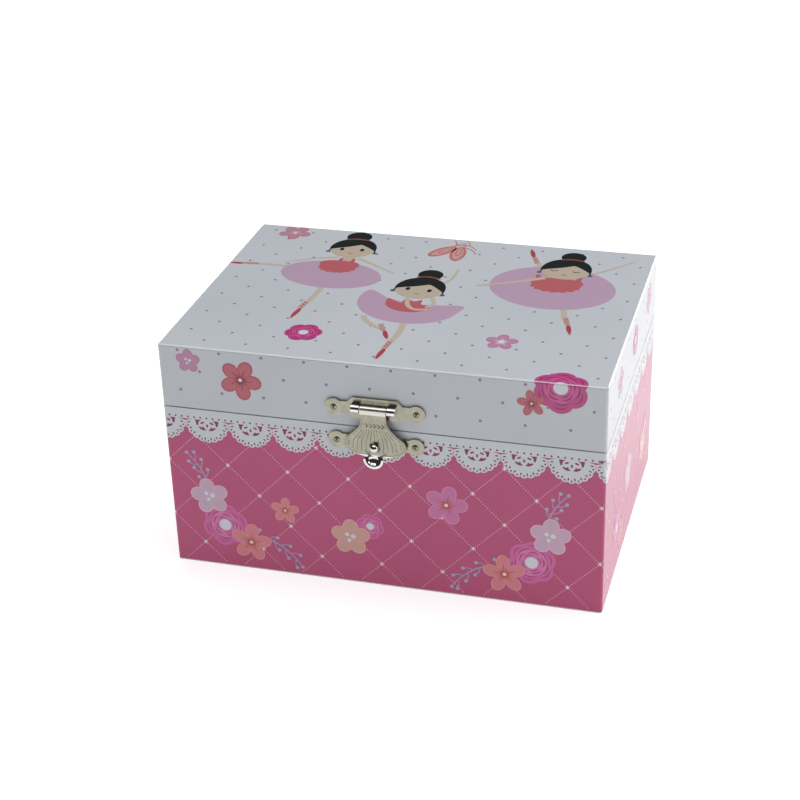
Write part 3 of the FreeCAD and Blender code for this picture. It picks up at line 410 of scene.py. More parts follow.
class Print:
    """Collects ink shapes for one sheet, by ink and layer, and lays them down as one piece for each ink."""

    def __init__(self, sheet):
        self.sheet = sheet
        self.inks = {}

    def add(self, ink, layer, *shapes):
        self.inks.setdefault(ink, {}).setdefault(layer, []).extend(shapes)

    def pen(self, ink, layer, points, *widths, bend=True):
        self.add(ink, layer, stroke(points, widths, bend=bend))

    def lay(self, materials):
        for ink, layers in self.inks.items():
            verts, faces = [], []
            for layer, shapes in sorted(layers.items()):
                more_verts, more_faces = closed_films(shapes, self.sheet, FILM_STEP * (layer + 1))
                faces += [[i + len(verts) for i in face] for face in more_faces]
                verts += more_verts
            obj = piece(f"{self.sheet}_print_{ink}", verts, faces, materials[ink], self.sheet)


# ---------- printed motifs
# A flower takes the name of its petals' ink. Its rim, shade and light add an ending to that name.
def petals(sheet, u, v, r, petal, turn, layer, rim, leaf):
    """Five petals on their rims. rim and leaf are (distance out, half length, half width) as shares of r."""
    for k in range(5):
        tilt = turn + 72 * k
        for ink, up, (far, along, across) in ((f"{petal}_rim", 0, rim), (petal, 0.04, leaf)):
            middle = polar(u, v, far * r, radians(tilt))
            sheet.add(ink, layer + up + 0.08 * k, oval(*middle, along * r, across * r, tilt))


def star_flower(sheet, u, v, r, petal, ray, turn=0.0, layer=2, plump=0.36):
    """Five round petals about a star of short rays and a white eye."""
    sheet.add(petal, layer, circle(u, v, 0.3 * r, 16))
    petals(sheet, u, v, r, petal, turn, layer + 0.1, (0.6, 0.43, plump), (0.57, 0.4, 0.84 * plump))
    for k in range(15):
        far = r * (0.52 if k % 3 == 0 else 0.36)
        tip = polar(u, v, far, radians(turn + 24 * k))
        sheet.pen(ray, layer + 0.7 + 0.01 * k, [(u, v), tip], 0.09 * r, 0.02 * r, bend=False)
    sheet.add("spark", layer + 1.0, circle(u, v, 0.09 * r, 14))


def blossom(sheet, u, v, r, petal, turn=0.0, layer=2):
    """A soft five-petalled flower with three white stamens."""
    petals(sheet, u, v, r, petal, turn, layer, (0.57, 0.44, 0.4), (0.54, 0.41, 0.35))
    sheet.add(petal, layer + 0.5, circle(u, v, 0.3 * r, 20))
    for du, dv, size in ((-0.18, 0.14, 0.11), (0.13, 0.06, 0.13), (-0.08, -0.18, 0.1)):
        sheet.add("white", layer + 0.8, circle(u + du * r, v + dv * r, size * r, 14))


def rose(sheet, u, v, r, petal, turn=0.0):
    """A round bloom of nested petals about a white heart."""
    outer = [(0.6 * r, turn + 60 * k, 0.4 * r, 0.46 * r) for k in range(6)]
    inner = [(0.34 * r, turn + 30 + 72 * k, 0.32 * r, 0.36 * r) for k in range(5)]
    sheet.add(petal, 2, lobes(u, v, outer))
    sheet.add(f"{petal}_light", 2.5, lobes(u, v, inner))
    # each ring of petal edges: distance out, how many, how wide in degrees, how thick
    rings = ((0.82, 6, 28, 0.045), (0.66, 5, 38, 0.05), (0.5, 5, 40, 0.05), (0.37, 4, 50, 0.04))
    for ring, (far, count, span, thick) in enumerate(rings):
        for k in range(count):
            middle = turn + 360 * k / count + 30 * ring
            arc = []
            for step in range(7):
                t = step / 3 - 1
                a = radians(middle + span * t / 1.3)
                arc.append(polar(u, v, far * r * (1 - 0.1 * t * t), a))
            widths = [0.01, thick * r, 1.5 * thick * r, thick * r, 0.01]
            sheet.add(f"{petal}_shade", 2.8 + 0.05 * ring, stroke(arc, widths, steps=3))
    sheet.add("white", 3.2, circle(u, v, 0.26 * r, 24))


def berry(sheet, u, v):
    sheet.add("berry", 1.4, circle(u, v, 0.66, 12))


def branch(sheet, points, first=1):
    """A curved twig with cupped side shoots that end in berries. first is the side of the first shoot."""
    sheet.pen("twig", 1, points, 0.7, 0.4)
    path = smooth(points, closed=False, steps=8)
    for k in range(6):
        at = int((k + 0.1) / 6.6 * (len(path) - 1))
        (u, v), (after_u, after_v) = path[at], path[at + 1]
        along = atan2(after_v - v, after_u - u)
        side = first if k % 2 else -first
        shoot = [(u, v)]
        for far, turn in ((1.9, 52), (3.5, 38)):
            shoot.append(polar(u, v, far, along + side * radians(turn)))
        sheet.pen("twig", 1.1 + 0.01 * k, shoot, 0.45, 0.35)
        berry(sheet, *shoot[-1])
    berry(sheet, *points[-1])


# ---------- the base's print
def lace_openings():
    """The openings of one scallop of lace, about its middle: eyelets, brackets, leaves and a zigzag ring."""
    loops = [circle(du, 57.75, 0.38, 8) for du in (-6.63, -4.42, -2.21, 0, 2.21, 4.42, 6.63)]
    bracket = [(4.2, 57.0), (1.95, 56.9), (2.75, 56.45), (3.05, 55.7), (3.1, 55.0), (3.6, 54.75), (3.9, 55.4)]
    leaf = [(0.4, 53.2), (1.3, 53.05), (2.3, 53.4), (3.1, 54.2), (2.5, 54.4), (2.0, 54.1), (1.3, 54.45),
            (1.0, 53.8)]
    for side in (-1, 1):
        for loop in (bracket, smooth(leaf, steps=3), oval(1.65, 55.9, 0.78, 0.36, -24, 12)):
            loops.append([(side * u, v) for u, v in loop])
    loops.append(oval(0, 54.9, 0.36, 0.66, 0, 12))
    for k in range(LACE_RING):
        a = radians(-6 - 168 * k / (LACE_RING - 1))
        far, along, across = (7.1, 0.36, 0.34) if k % 2 else (6.5, 0.58, 0.28)
        loops.append(oval(*polar(0, LACE_V, far, a), along, across, degrees(a), 8))
    return loops


def lace_edge(middle):
    """A scallop's lower edge from right to left, with a small bump below every other opening of its ring."""
    period = radians(336 / (LACE_RING - 1))
    start = asin(1.0 / 7.6)
    widest = LACE_PITCH / 2 - 0.05
    count = 110
    out = []
    for i in range(count + 1):
        a = start + (pi - 2 * start) * i / count
        bump = abs(cos(pi * (a - pi / 2) / period)) ** 0.6
        r = 7.35 + 0.6 * bump * (0 < i < count)
        u = min(max(r * cos(a), -widest), widest)
        out.append((middle + u, LACE_V - r * sin(a)))
    return out


def lace(sheet, u0, u1):
    """A band of scalloped lace below the rim, with its pattern of openings over a darker pink."""
    top = BASE_TOP - 0.02
    slit = [(-2.6, 56.95), (-0.6, 57.0), (0.6, 57.0), (2.6, 56.95), (0.7, 56.6), (0, 56.2), (-0.7, 56.6)]
    openings = lace_openings()
    middle = LACE_FIRST + LACE_PITCH / 2
    middle -= ceil((middle - u0) / LACE_PITCH) * LACE_PITCH
    lower, holes = [], []
    while middle - LACE_PITCH / 2 < u1:
        lower = [p for p in lace_edge(middle) if u0 < p[0] < u1] + lower
        if u0 < middle - 7.3 and middle + 7.3 < u1:
            turns = [pi * (1 + k / 16) for k in range(17)]
            bowl = [(middle + 7.2 * cos(a), 55.8 + 7.1 * sin(a)) for a in turns]
            sheet.add("lace_shade", 0.5, bowl + [(middle + 7.2, 57.1), (middle - 7.2, 57.1)])
        shifted = [[(middle + u, v) for u, v in loop] for loop in openings]
        shifted.append([(middle - LACE_PITCH / 2 + u, v) for u, v in slit])
        for loop in shifted:
            if min(u for u, v in loop) > u0 + 0.2 and max(u for u, v in loop) < u1 - 0.2:
                holes.append(loop)
        middle += LACE_PITCH
    outline = [(u0, top), (u0, lower[-1][1]), *reversed(lower), (u1, lower[0][1]), (u1, top)]
    sheet.add("lace_shade", 0.5, [(u0, 58.4), (u0, 57.15), (u1, 57.15), (u1, 58.4)])
    sheet.add("lace", 1, [outline] + holes)


def lattice(sheet, u0, u1):
    """Diagonal lines of pin dots that cross at brighter dots."""
    pitch, rise, start_u, start_v = 21.24, 21.3, -11.0, 40.5
    low, high, between = 1.0, 55.0, 15
    crossings = [(i + shift, j + shift) for i in range(-12, 18) for j in range(-4, 2) for shift in (0.0, 0.5)]
    for column, row in crossings:
        u, v = start_u + pitch * column, start_v + rise * row
        if u0 < u < u1 and low < v < high:
            sheet.add("spark", 0.5, [polar(u, v, r, a) for r, a in zip([0.85, 0.4] * 4, EIGHTHS)])
            sheet.add("spark", 0.6, circle(u, v, 0.52, 8))
        for side in (-1, 1):
            for k in range(1, between):
                t = k / between / 2
                dot_u, dot_v = u + side * pitch * t, v + rise * t
                if u0 < dot_u < u1 and low < dot_v < high:
                    sheet.add("dots", 0, circle(dot_u, dot_v, 0.22, 6))


def spray(sheet, u, v, side):
    """A corner's spray of flowers between two branches. side is 1, or -1 for its mirror image."""

    def at(du, dv):
        return u + side * du, v + dv

    branch(sheet, [at(-5.2, 16.3), at(-6.3, 19.2), at(-7.6, 21.9), at(-9.2, 24.2), at(-12.0, 27.3)], -side)
    branch(sheet, [at(15.4, -3.6), at(19, -5.2), at(22, -7.4), at(25.2, -10.4), at(27.3, -13.4)], -side)
    sheet.pen("twig", 1, [at(10.5, -3.0), at(11.8, -2.0), at(12.6, -0.5)], 0.45, 0.35)
    berry(sheet, *at(12.6, -0.4))
    rose(sheet, *at(0, 0), 8.4, "petal", turn=20)
    blossom(sheet, *at(-5.5 + 0.7 * side, 10.8), 7.0, "blush", turn=22 + 7 * side, layer=4)
    star_flower(sheet, *at(9.1, -5.8), 7.3, "peach", "rust", turn=90 - 7 * side, layer=4.5, plump=0.33)


def long_wall(sheet, middle):
    """The pictures of the front or the back."""
    spray(sheet, middle - 56.2, 16.5, 1)
    spray(sheet, middle + 51.2, 16.5, -1)
    star_flower(sheet, middle - 34.0, 25.2, 5.0, "peach", "rust", turn=86, plump=0.33)
    rose(sheet, middle - 4.0, 23.0, 5.0, "petal", turn=45)
    blossom(sheet, middle - 11.0, 17.8, 7.0, "cream", turn=90, layer=4)
    star_flower(sheet, middle + 22.5, 34.8, 7.3, "orchid", "rust", turn=5)


def short_wall(sheet, middle):
    """The pictures of the right or the left side."""
    rose(sheet, middle - 26.0, 17.0, 7.6, "petal", turn=10)
    star_flower(sheet, middle - 17.5, 10.6, 6.0, "peach", "rust", turn=40, layer=4.5, plump=0.33)
    branch(sheet, [(middle - 31, 24), (middle - 33, 30), (middle - 36, 37)])
    blossom(sheet, middle - 3.0, 26.0, 7.2, "blush", turn=90)
    star_flower(sheet, middle + 17.0, 38.0, 5.2, "orchid", "rust", turn=20)
    blossom(sheet, middle + 31.0, 18.0, 6.8, "cream", turn=60, layer=4)
    rose(sheet, middle + 37.5, 23.5, 5.0, "petal", turn=30)


def print_base():
    sheet = Print("base")
    left, right = -HALF_W - 2 * HALF_D, 3 * HALF_W + 2 * HALF_D
    lace(sheet, left, right)
    lattice(sheet, left, right)
    long_wall(sheet, 0)
    long_wall(sheet, 2 * HALF_W + 2 * HALF_D)
    short_wall(sheet, HALF_W + HALF_D)
    short_wall(sheet, -HALF_W - HALF_D)
    return sheet


# ---------- the lid's print
def dancer_head(sheet, u, v, r, bun, tilt, eyes, layer=6.5):
    """A head: hair parted to one side, a bun with a band, ear-rings, and a dot or a lash for each eye."""

    def put(shape):
        return spun(shape, u, v, tilt, r)

    sheet.add("skin", layer - 0.5, put(oval(0, -0.12, 1.0, 0.86)))
    cap = [(-1.06, -0.12), (-1.02, 0.4), (-0.72, 0.86), (-0.25, 1.1), (0.3, 1.1), (0.76, 0.84), (1.02, 0.36),
           (1.06, -0.16), (0.86, 0.0), (0.6, 0.24), (0.3, 0.46), (0.08, 0.36), (-0.3, 0.16), (-0.7, 0.0)]
    sheet.add("hair", layer, put(smooth(cap, steps=4)))
    for side, x in ((-1, -0.5), (1, 0.44)):
        wisp = [(side * 1.0, 0.0), (side * 1.05, -0.3), (side * 1.0, -0.52)]
        sheet.add("hair", layer + 0.02, put(stroke(wisp, [0.09, 0.03])))
        sheet.add("ear_ring", layer + 0.05, put(circle(side * 1.1, -0.42, 0.09, 10)))
        if eyes == "dots":
            sheet.add("hair", layer + 0.1, put(oval(x, -0.12, 0.1, 0.15, 0, 14)))
        else:
            lash = [(x - 0.17, -0.08), (x, -0.2), (x + 0.17, -0.08)]
            sheet.add("hair", layer + 0.1, put(stroke(lash, [0.03, 0.06, 0.03])))
    smile = [(-0.12, -0.5), (0, -0.56), (0.12, -0.5)]
    sheet.add("mouth", layer + 0.1, put(stroke(smile, [0.03, 0.07, 0.03])))
    bun_u, bun_v, bun_r = bun
    sheet.add("hair", layer + 0.2, oval(bun_u, bun_v, bun_r * 1.02, bun_r * 0.95, tilt))
    band = spun([(-0.98, -0.66), (0, -0.44), (0.98, -0.66)], bun_u, bun_v, tilt, bun_r)
    sheet.pen("band", layer + 0.3, band, 0.7, 1.15, 0.7)


def bodice(sheet, u, v, half_u, half_v):
    """A red bodice with a scalloped hem."""
    shape = [(-0.55, 0.95), (-1.0, 0.55), (-0.92, -0.1)]
    for k in range(7):
        a = radians(200 + 140 * k / 6)
        shape.append((1.02 * cos(a), 0.98 * sin(a)))
        shape.append((0.9 * cos(a + 0.2), 0.88 * sin(a + 0.2)))
    shape += [(0.92, -0.1), (1.0, 0.55), (0.55, 0.95)]
    sheet.add("bodice", 4, smooth([(u + x * half_u, v + y * half_v) for x, y in shape], steps=3))


def leg(sheet, points, shoe, layer, width):
    """A leg with ribbons crossed above a pointed shoe. shoe is the toe's tip."""
    sheet.pen("limb", layer, points + [shoe], width * 1.15, width, width * 0.62)
    (u0, v0), (u1, v1) = points[-1], shoe
    along = atan2(v1 - v0, u1 - u0)
    long = hypot(u1 - u0, v1 - v0)
    c, s = cos(along), sin(along)

    def at(x, y):
        return u0 + x * c - y * s, v0 + x * s + y * c

    toe = [(-0.1, 0), (0.12 * long, 0.85), (0.5 * long, 0.9), (0.85 * long, 0.5), (long, 0),
           (0.85 * long, -0.5), (0.5 * long, -0.8), (0.15 * long, -0.45)]
    sheet.add("shoe", layer + 0.5, smooth([at(*p) for p in toe], steps=4))
    for k in range(3):
        x = -1.2 - 1.7 * k
        for side in (-1, 1):
            cross = [at(x - 0.9, side * 0.9), at(x + 0.9, -side * 0.9)]
            sheet.pen("shoe", layer + 0.3 + 0.02 * (k + side), cross, 0.32, 0.32, bend=False)


def slippers(sheet, u, v):
    """A pair of ballet slippers hung by their ribbons."""
    for du, dv, tilt in ((-3.0, 1.2, 52), (3.1, 0.0, 92)):

        def place(shape):
            return spun(shape, u + du, v + dv, tilt)

        sheet.add("slipper", 1, place(oval(0, 0, 6.4, 2.9)))
        sheet.add("slipper_light", 2, place(oval(0.2, 0, 5.2, 1.9)))
        sheet.add("slipper", 2.6, place(oval(1.4, 0, 3.4, 1.2)))
        sheet.add("slipper_light", 3.1, place(oval(1.5, 0, 2.7, 0.75)))
    ribbons = (
        [(-0.5, 5.5), (1.5, 8.6), (4.0, 10.4)],
        [(0.2, 5.2), (0.5, 9.0), (-0.8, 12.0)],
        [(3.2, 6.0), (5.6, 9.0), (3.6, 12.4)],
        [(3.4, 6.2), (7.0, 4.6), (9.6, 0.8)],
        [(1.0, 7.2), (5.5, 8.0), (9.0, 4.4)],
    )
    for k, points in enumerate(ribbons):
        sheet.pen("slipper", 3.4 + 0.1 * k, [(u + du, v + dv) for du, dv in points], 0.5, 0.3)


def lid_dots(sheet):
    """Small mauve dots in staggered rows, over the top and down the walls."""
    pitch, row, first_u, first_v = 14.6, 7.33, 5.0, -10.5
    across, margin = 97, 1.2
    drop = LID_TOP - LID_BOTTOM
    for j in range(-12, 14):
        for i in range(-9, 9):
            u = first_u + pitch * (i + 0.5 * (j % 2))
            v = first_v + row * j
            over_u, over_v = abs(u) - HALF_W, abs(v) - HALF_D
            off_sheet = abs(u) > across or max(over_u, over_v) > drop - margin
            past_corner = min(over_u, over_v) > -margin
            if not off_sheet and not past_corner:
                sheet.add("dot", 0, circle(u, v, 0.55, 10))


def left_dancer(sheet):
    """Arms spread low, standing on one leg with the other held out to the side."""
    sheet.pen("limb", 1, [(-37, 28), (-46, 25), (-55.5, 19.5)], 1.5, 1.2, 0.7)
    sheet.pen("limb", 1.1, [(-30, 28.5), (-22, 23.5), (-13.5, 18)], 1.5, 1.2, 0.7)
    leg(sheet, [(-50, 16.6), (-60, 16.8), (-69.5, 16.2)], (-74.6, 15.6), 1.2, 1.5)
    leg(sheet, [(-35.3, 4), (-35.6, -6), (-37.3, -16.6)], (-38.0, -24.8), 1.3, 2.0)
    sheet.add("tutu", 3, oval(-35.5, 12.8, 18.6, 11.4, -4, 64))
    sheet.pen("skin", 3.5, [(-33.2, 30), (-33.6, 24)], 4.2, 6.0, bend=False)
    bodice(sheet, -35.0, 19.6, 7.3, 5.6)
    sheet.pen("bodice", 4.3, [(-36.0, 22.5), (-35.6, 27.5)], 2.2, 1.0)
    sheet.pen("bodice", 4.3, [(-31.4, 22.5), (-31.0, 27.5)], 2.2, 1.0)
    dancer_head(sheet, -34.2, 36.6, 8.0, (-35.0, 47.6, 4.6), 4, "dots", 6)


def middle_dancer(sheet):
    """Bowing over a half-round skirt."""
    sheet.pen("limb", 1, [(5.2, 12), (7.8, 18), (8.0, 26.5)], 1.5, 1.2, 0.8)
    leg(sheet, [(-14.4, -17.6), (-12.8, -21.0), (-8.5, -25.0), (-4.4, -27.8)], (-1.6, -33.6), 1.2, 1.8)
    leg(sheet, [(0.4, -18), (0.9, -29), (-0.6, -40.6)], (-1.2, -48.6), 1.3, 2.1)
    skirt = [(-18.4, 2.6), (-20.0, -3.0), (-19.0, -9.5), (-14.8, -15.6), (-8.0, -19.6), (0.5, -20.8),
             (8.5, -19.0), (14.0, -14.6), (16.8, -8.0), (17.0, -3.9), (10.0, -4.6), (2.5, -5.4), (-4.0, -4.4),
             (-10.0, -2.4), (-15.4, 2.0)]
    sheet.add("tutu", 3, smooth(skirt, steps=4))
    top = [(-9.9, -2.6), (-9.6, -7.6), (-6.8, -10.6), (-2.6, -12.2), (2.0, -11.8), (5.4, -9.2), (5.6, -6.0),
           (2.6, -5.4), (2.0, -1.8), (-0.4, -3.4), (-3.8, -1.6), (-4.6, -5.4), (-7.4, -3.8)]
    sheet.add("bodice", 4, smooth(top, steps=3))
    sheet.pen("limb", 5, [(-3.4, 0.4), (-2.2, -6.0), (1.0, -9.6), (5.7, -8.8)], 1.5, 1.7, 1.4, 1.2)
    sheet.pen("limb", 5.2, [(5.0, 0.6), (6.6, -4.0), (4.6, -7.6)], 1.5, 1.5, 1.2)
    dancer_head(sheet, -1.1, 7.2, 8.3, (-0.4, 19.4, 4.4), -2, "dots")


def right_dancer(sheet):
    """Seen over a full round skirt, eyes closed."""
    leg(sheet, [(50.2, 4), (51.8, -4), (54.2, -11.0)], (56.2, -17.6), 1.2, 2.0)
    leg(sheet, [(38, 30), (35.2, 36), (32.4, 42.0)], (29.8, 49.0), 1.3, 1.7)
    sheet.pen("limb", 1.4, [(55, 31), (61, 37), (68.4, 45.4)], 1.5, 1.2, 0.7)
    sheet.add("tutu", 3, oval(43.6, 17.4, 22.2, 17.4, -6, 72))
    sheet.pen("skin", 3.5, [(45.2, 28), (44.6, 22)], 9.0, 13.0, bend=False)
    bodice(sheet, 44.4, 19.4, 9.2, 6.2)
    sheet.pen("bodice", 4.3, [(51.2, 22), (51.6, 27.6)], 2.6, 1.4)
    sheet.pen("bodice", 4.3, [(38.0, 22), (36.6, 27.4)], 2.6, 1.4)
    sheet.pen("limb", 5, [(39.5, 25.0), (34.0, 21.8), (26.0, 17.6), (17.6, 14.0)], 2.0, 1.8, 1.4, 0.8)
    dancer_head(sheet, 45.6, 33.2, 8.4, (46.3, 44.6, 4.4), 0, "closed")


def lid_flowers(sheet):
    rose(sheet, -30.2, -34.6, 6.4, "rose", turn=12)
    rose(sheet, 60.0, -54.5, 9.1, "rose", turn=30)
    star_flower(sheet, -60.0, 47.0, 6.0, "dusty", "blush", turn=60)
    star_flower(sheet, 35.6, -28.0, 5.4, "mauve", "white", turn=90)
    blossom(sheet, -64.5, -58.2, 4.3, "mauve", turn=90)
    star_flower(sheet, -46.6, -63.4, 7.2, "coral", "wine", turn=-8)
    star_flower(sheet, 50.8, -61.0, 4.6, "coral", "wine", turn=28, layer=5, plump=0.3)
    for side in (-1, 1):
        star_flower(sheet, side * 86.0, -27.0, 5.4, "mauve", "wine", turn=30)
        star_flower(sheet, side * 84.0, 35.0, 5.6, "dusty", "rust", turn=70)
        rose(sheet, side * 85.5, 4.0, 5.6, "rose", turn=12)
    star_flower(sheet, 16.0, 66.0, 6.4, "coral", "wine", turn=-8)
    blossom(sheet, 64.0, 61.0, 4.4, "mauve", turn=90)
    rose(sheet, -30.0, 65.0, 6.4, "rose", turn=12)
    star_flower(sheet, -58.5, 62.0, 5.2, "coral", "wine", turn=20)


def lid_crease_highlights(sheet):
    """A painted highlight along the lid's rounded top edges, over slightly worn paler print, which thins to a
    fine painted highlight across the big front rose.
    """
    left, right, reach = 0.4 - HALF_W, HALF_W - 0.4, HALF_D - 0.4
    rose_left, rose_right = 51.2, 68.8
    runs = [
        [(left, HALF_D), (right, HALF_D)],
        [(left, -HALF_D), (rose_left, -HALF_D)],
        [(rose_right, -HALF_D), (right, -HALF_D)],
        [(-HALF_W, -reach), (-HALF_W, reach)],
        [(HALF_W, -reach), (HALF_W, reach)],
    ]
    # Each run is a painted highlight along a rounded top edge, with some worn paler print there.
    for run in runs:
        sheet.pen("crease_highlight", 8, run, 0.6, 0.6, bend=False)
    # A fine painted highlight across the big front rose, in the spark ink.
    sheet.pen("spark", 8, [(rose_left, -HALF_D), (rose_right, -HALF_D)], 0.3, 0.3, bend=False)


def print_lid():
    sheet = Print("lid")
    lid_dots(sheet)
    left_dancer(sheet)
    middle_dancer(sheet)
    right_dancer(sheet)
    slippers(sheet, 1.4, 39.6)
    lid_flowers(sheet)
    lid_crease_highlights(sheet)
    return sheet


def mix_inks():
    """One ink material for each colour of the print, and for the painted highlights along the lid's top
    edges.
    """
    colours = {
        # spark is printed sparkle, and is also a painted highlight across the lid's front rose. The pale edge
        # ink below is a painted highlight along the lid's rounded top edges, over slightly worn print.
        "white": (228, 235, 242), "spark": (255, 240, 246), "lace": (222, 228, 234),
        "lace_shade": (150, 44, 88),
        "dots": (246, 196, 216), "crease_highlight": (250, 252, 255), "dot": (160, 136, 160),
        "rose": (206, 80, 148), "rose_shade": (170, 46, 114), "rose_light": (216, 98, 162),
        "petal": (222, 106, 172), "petal_shade": (190, 68, 134), "petal_light": (230, 126, 186),
        "blush": (216, 182, 206), "blush_rim": (240, 190, 214), "cream": (221, 171, 158),
        "cream_rim": (236, 176, 176), "peach": (230, 138, 148), "peach_rim": (236, 152, 156),
        "rust": (200, 84, 64), "orchid": (215, 122, 176), "orchid_rim": (226, 140, 190),
        "mauve": (202, 150, 183), "mauve_rim": (212, 124, 170), "dusty": (200, 151, 167),
        "dusty_rim": (206, 120, 146), "coral": (204, 108, 120), "coral_rim": (190, 88, 100),
        "wine": (150, 52, 62), "twig": (180, 156, 200), "berry": (176, 186, 212),
        "hair": (34, 40, 40), "skin": (208, 192, 174), "limb": (210, 198, 182), "band": (150, 84, 84),
        "mouth": (190, 92, 84), "ear_ring": (60, 112, 104), "bodice": (202, 108, 116),
        "tutu": (203, 172, 198), "shoe": (190, 78, 90), "slipper": (206, 128, 126),
        "slipper_light": (220, 170, 166),
    }
    return {name: grained(paper(f"ink_{name}", srgb)) for name, srgb in colours.items()}


# ---------- latch engraving, and painted shade at the nails
LATCH_X = (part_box("latch_flap")[0].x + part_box("latch_flap")[1].x) / 2 / MM
STUD_Z = (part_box("latch_stud")[0].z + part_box("latch_stud")[1].z) / 2 / MM
PLATE_FRONT = box_mm("latch_base_plate")[0].y
FLAP_FRONT = PLATE_FRONT - 1.5
NAIL_FRONT = box_mm("lid_nails")[0].y
NECK_Z, NECK_LEAN = 62.4, 0.31  # below this height the flap hangs flat, and above it the neck leans out


def on_flap(u, v, lift):
    """A point of the flap's front, u out from its middle line."""
    lean = max(0.0, v - NECK_Z) * NECK_LEAN
    return ((LATCH_X + u) * MM, (FLAP_FRONT - lean - lift) * MM, v * MM)


def upright(front):
    """A flat upright sheet about the latch's middle line, with its face at y = front."""

    def place(u, v, lift):
        return ((LATCH_X + u) * MM, (front - lift) * MM, v * MM)

    return place


SHEETS["flap"] = (on_flap, [(1, NECK_Z)])
SHEETS["plate"] = (upright(PLATE_FRONT), [])
SHEETS["nail"] = (upright(NAIL_FRONT), [])


def fan_outline(inset):
    """The flap's outline, a distance in from its edge."""
    neck, wide = 4.4 - inset, 10.7 - inset
    right = [(3.4, 51.4 + inset), (6.6 - inset / 2, 52.2 + inset), (wide - 1.9, 53.0 + inset / 2),
             (wide - 0.3, 54.4), (wide, 56.0), (9.9 - inset, 57.8 - inset / 3),
             (7.6 - inset, 59.6 - inset / 3), (neck + 0.9, 62.0), (neck, 64.2), (neck, 66.0)]
    return right + [(-u, v) for u, v in reversed(right)]


def inside(point, loop):
    u, v = point
    odd = False
    for (u0, v0), (u1, v1) in zip(loop, loop[1:] + loop[:1]):
        if (v0 > v) != (v1 > v) and u < (u1 - u0) * (v - v0) / (v1 - v0) + u0:
            odd = not odd
    return odd


def flare(v):
    """Half the flap's width at a height."""
    outline = ((50.0, 10.7), (56.0, 10.7), (57.8, 9.9), (59.6, 7.6), (62.0, 5.3), (64.2, 4.4), (70.0, 4.4))
    for (v0, half0), (v1, half1) in zip(outline, outline[1:]):
        if v <= v1:
            return half0 + (half1 - half0) * (v - v0) / (v1 - v0)


def edge_dots():
    """Punched dots round the flap's edge, but not across its neck or its foot."""
    edge = fan_outline(0.6)
    spacing = 0.62
    dots = []
    for (u0, v0), (u1, v1) in zip(edge, edge[1:] + edge[:1]):
        steps = max(1, round(hypot(u1 - u0, v1 - v0) / spacing))
        for k in range(steps):
            t = k / steps
            u, v = u0 + (u1 - u0) * t, v0 + (v1 - v0) * t
            if v < 65.5 and abs(u) > 2.9:
                dots.append(circle(u, v, 0.15, 6))
    return dots


def fan_dashes():
    """Dashed lines that spread down the fan and leave room round the stud."""
    field = fan_outline(1.4)
    dash, spacing, room = 0.46, 0.66, 2.4
    dashes = []
    for k in range(-6, 7):
        for step in range(14):
            v = 61.4 - spacing * step
            top = (k / 7.2 * flare(v), v)
            low = (k / 7.2 * flare(v - dash), v - dash)
            from_stud = hypot(top[0], v - dash / 2 - STUD_Z)
            if inside(top, field) and inside(low, field) and from_stud > room:
                dashes.append(stroke([top, low], [0.2, 0.2], bend=False))
    return dashes


def neck_chevrons():
    marks = []
    for k in range(5):
        u = -2.9 + 1.35 * k
        marks.append(stroke([(u, 64.1), (u + 0.9, 63.1), (u, 62.1)], [0.22, 0.38, 0.22], bend=False))
    return marks


def mark_latch_and_shade_nails():
    # One dark material for the flap's engraving and for the painted shade at the nails.
    dark = satin(mottled(material("engraving_and_painted_shade", (74, 70, 56), 0.6, 0.5), (64, 60, 48), 900))

    def lay_dark_marks(name, shapes, sheet, body):
        verts, faces = closed_films(shapes, sheet, LATCH_MARK_LIFT)
        piece(name, verts, faces, dark, body)

    lay_dark_marks("flap_engraving", edge_dots() + fan_dashes() + neck_chevrons(), "flap", "latch_flap")
    # At each nail, a dark ring on the plate round the head is a painted shadow, and a dark dot in the head is
    # painted shade in its hollow.
    for body, nail_u, nail_v in (("lid", 13.9, 67.9), ("base", 13.3, 55.8)):
        rings, dimple_shades = [], []
        for side in (-1, 1):
            rings.append([circle(side * nail_u, nail_v, 1.1, 24), circle(side * nail_u, nail_v, 0.97, 24)])
            dimple_shades.append(circle(side * nail_u, nail_v - 0.05, 0.34, 14))
        lay_dark_marks(f"{body}_nail_shadow_rings", rings, "plate", body)
        lay_dark_marks(f"{body}_nail_dimple_shades", dimple_shades, "nail", body)


# ---------- springs
def bend_springs():
    """Shows each half of the dancer's spring as an unbent copy of its CAD mesh in place of the hidden CAD
    half. The ends between the two bodies that it joins are worked out, but the copy is not bent to them.
    """
    joints = frame["record"]["behaviour"]["joints"]
    pivots = {j["name"]: Vector(j["pos_m"]) for j in joints if "spring" in j["name"]}
    foot = Vector((0, pivots["spring_bend_low"].y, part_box("spring_socket")[1].z))
    reach = pivots["spring_bend_low"].z - foot.z
    middle = pivots["spring_bend_low"] + Vector((0, -1, 1)).normalized() * reach
    head = pivots["spring_bend_high"] + Vector((0, -reach, 0))
    halves = (
        ("spring_lower_half", "base", "spring_middle", foot, middle),
        ("spring_upper_half", "spring_middle", "dancer_stem", middle, head),
    )
    for name, low, high, start, end in halves:
        coil = new_object(f"{name}_coil", nodes[name].data.copy())
        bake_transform(coil)
        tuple(start)
        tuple(end)
        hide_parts(name)


# ---------- dancer
HEAD_Z, HEAD_R = 34.0, 3.1  # the middle and the radius of the doll's head
WAIST_R = 2.05


def doll_place():
    """From millimetres over the upright doll's plug to metres in the box, where the doll lies back."""
    low, high = box_mm("dancer_plug")
    foot = Vector((0, high.y - 2.2, (low.z + high.z) / 2))
    return Matrix.Scale(MM, 4) @ (Matrix.Translation(foot) @ Matrix.Rotation(pi / 2, 4, "X"))


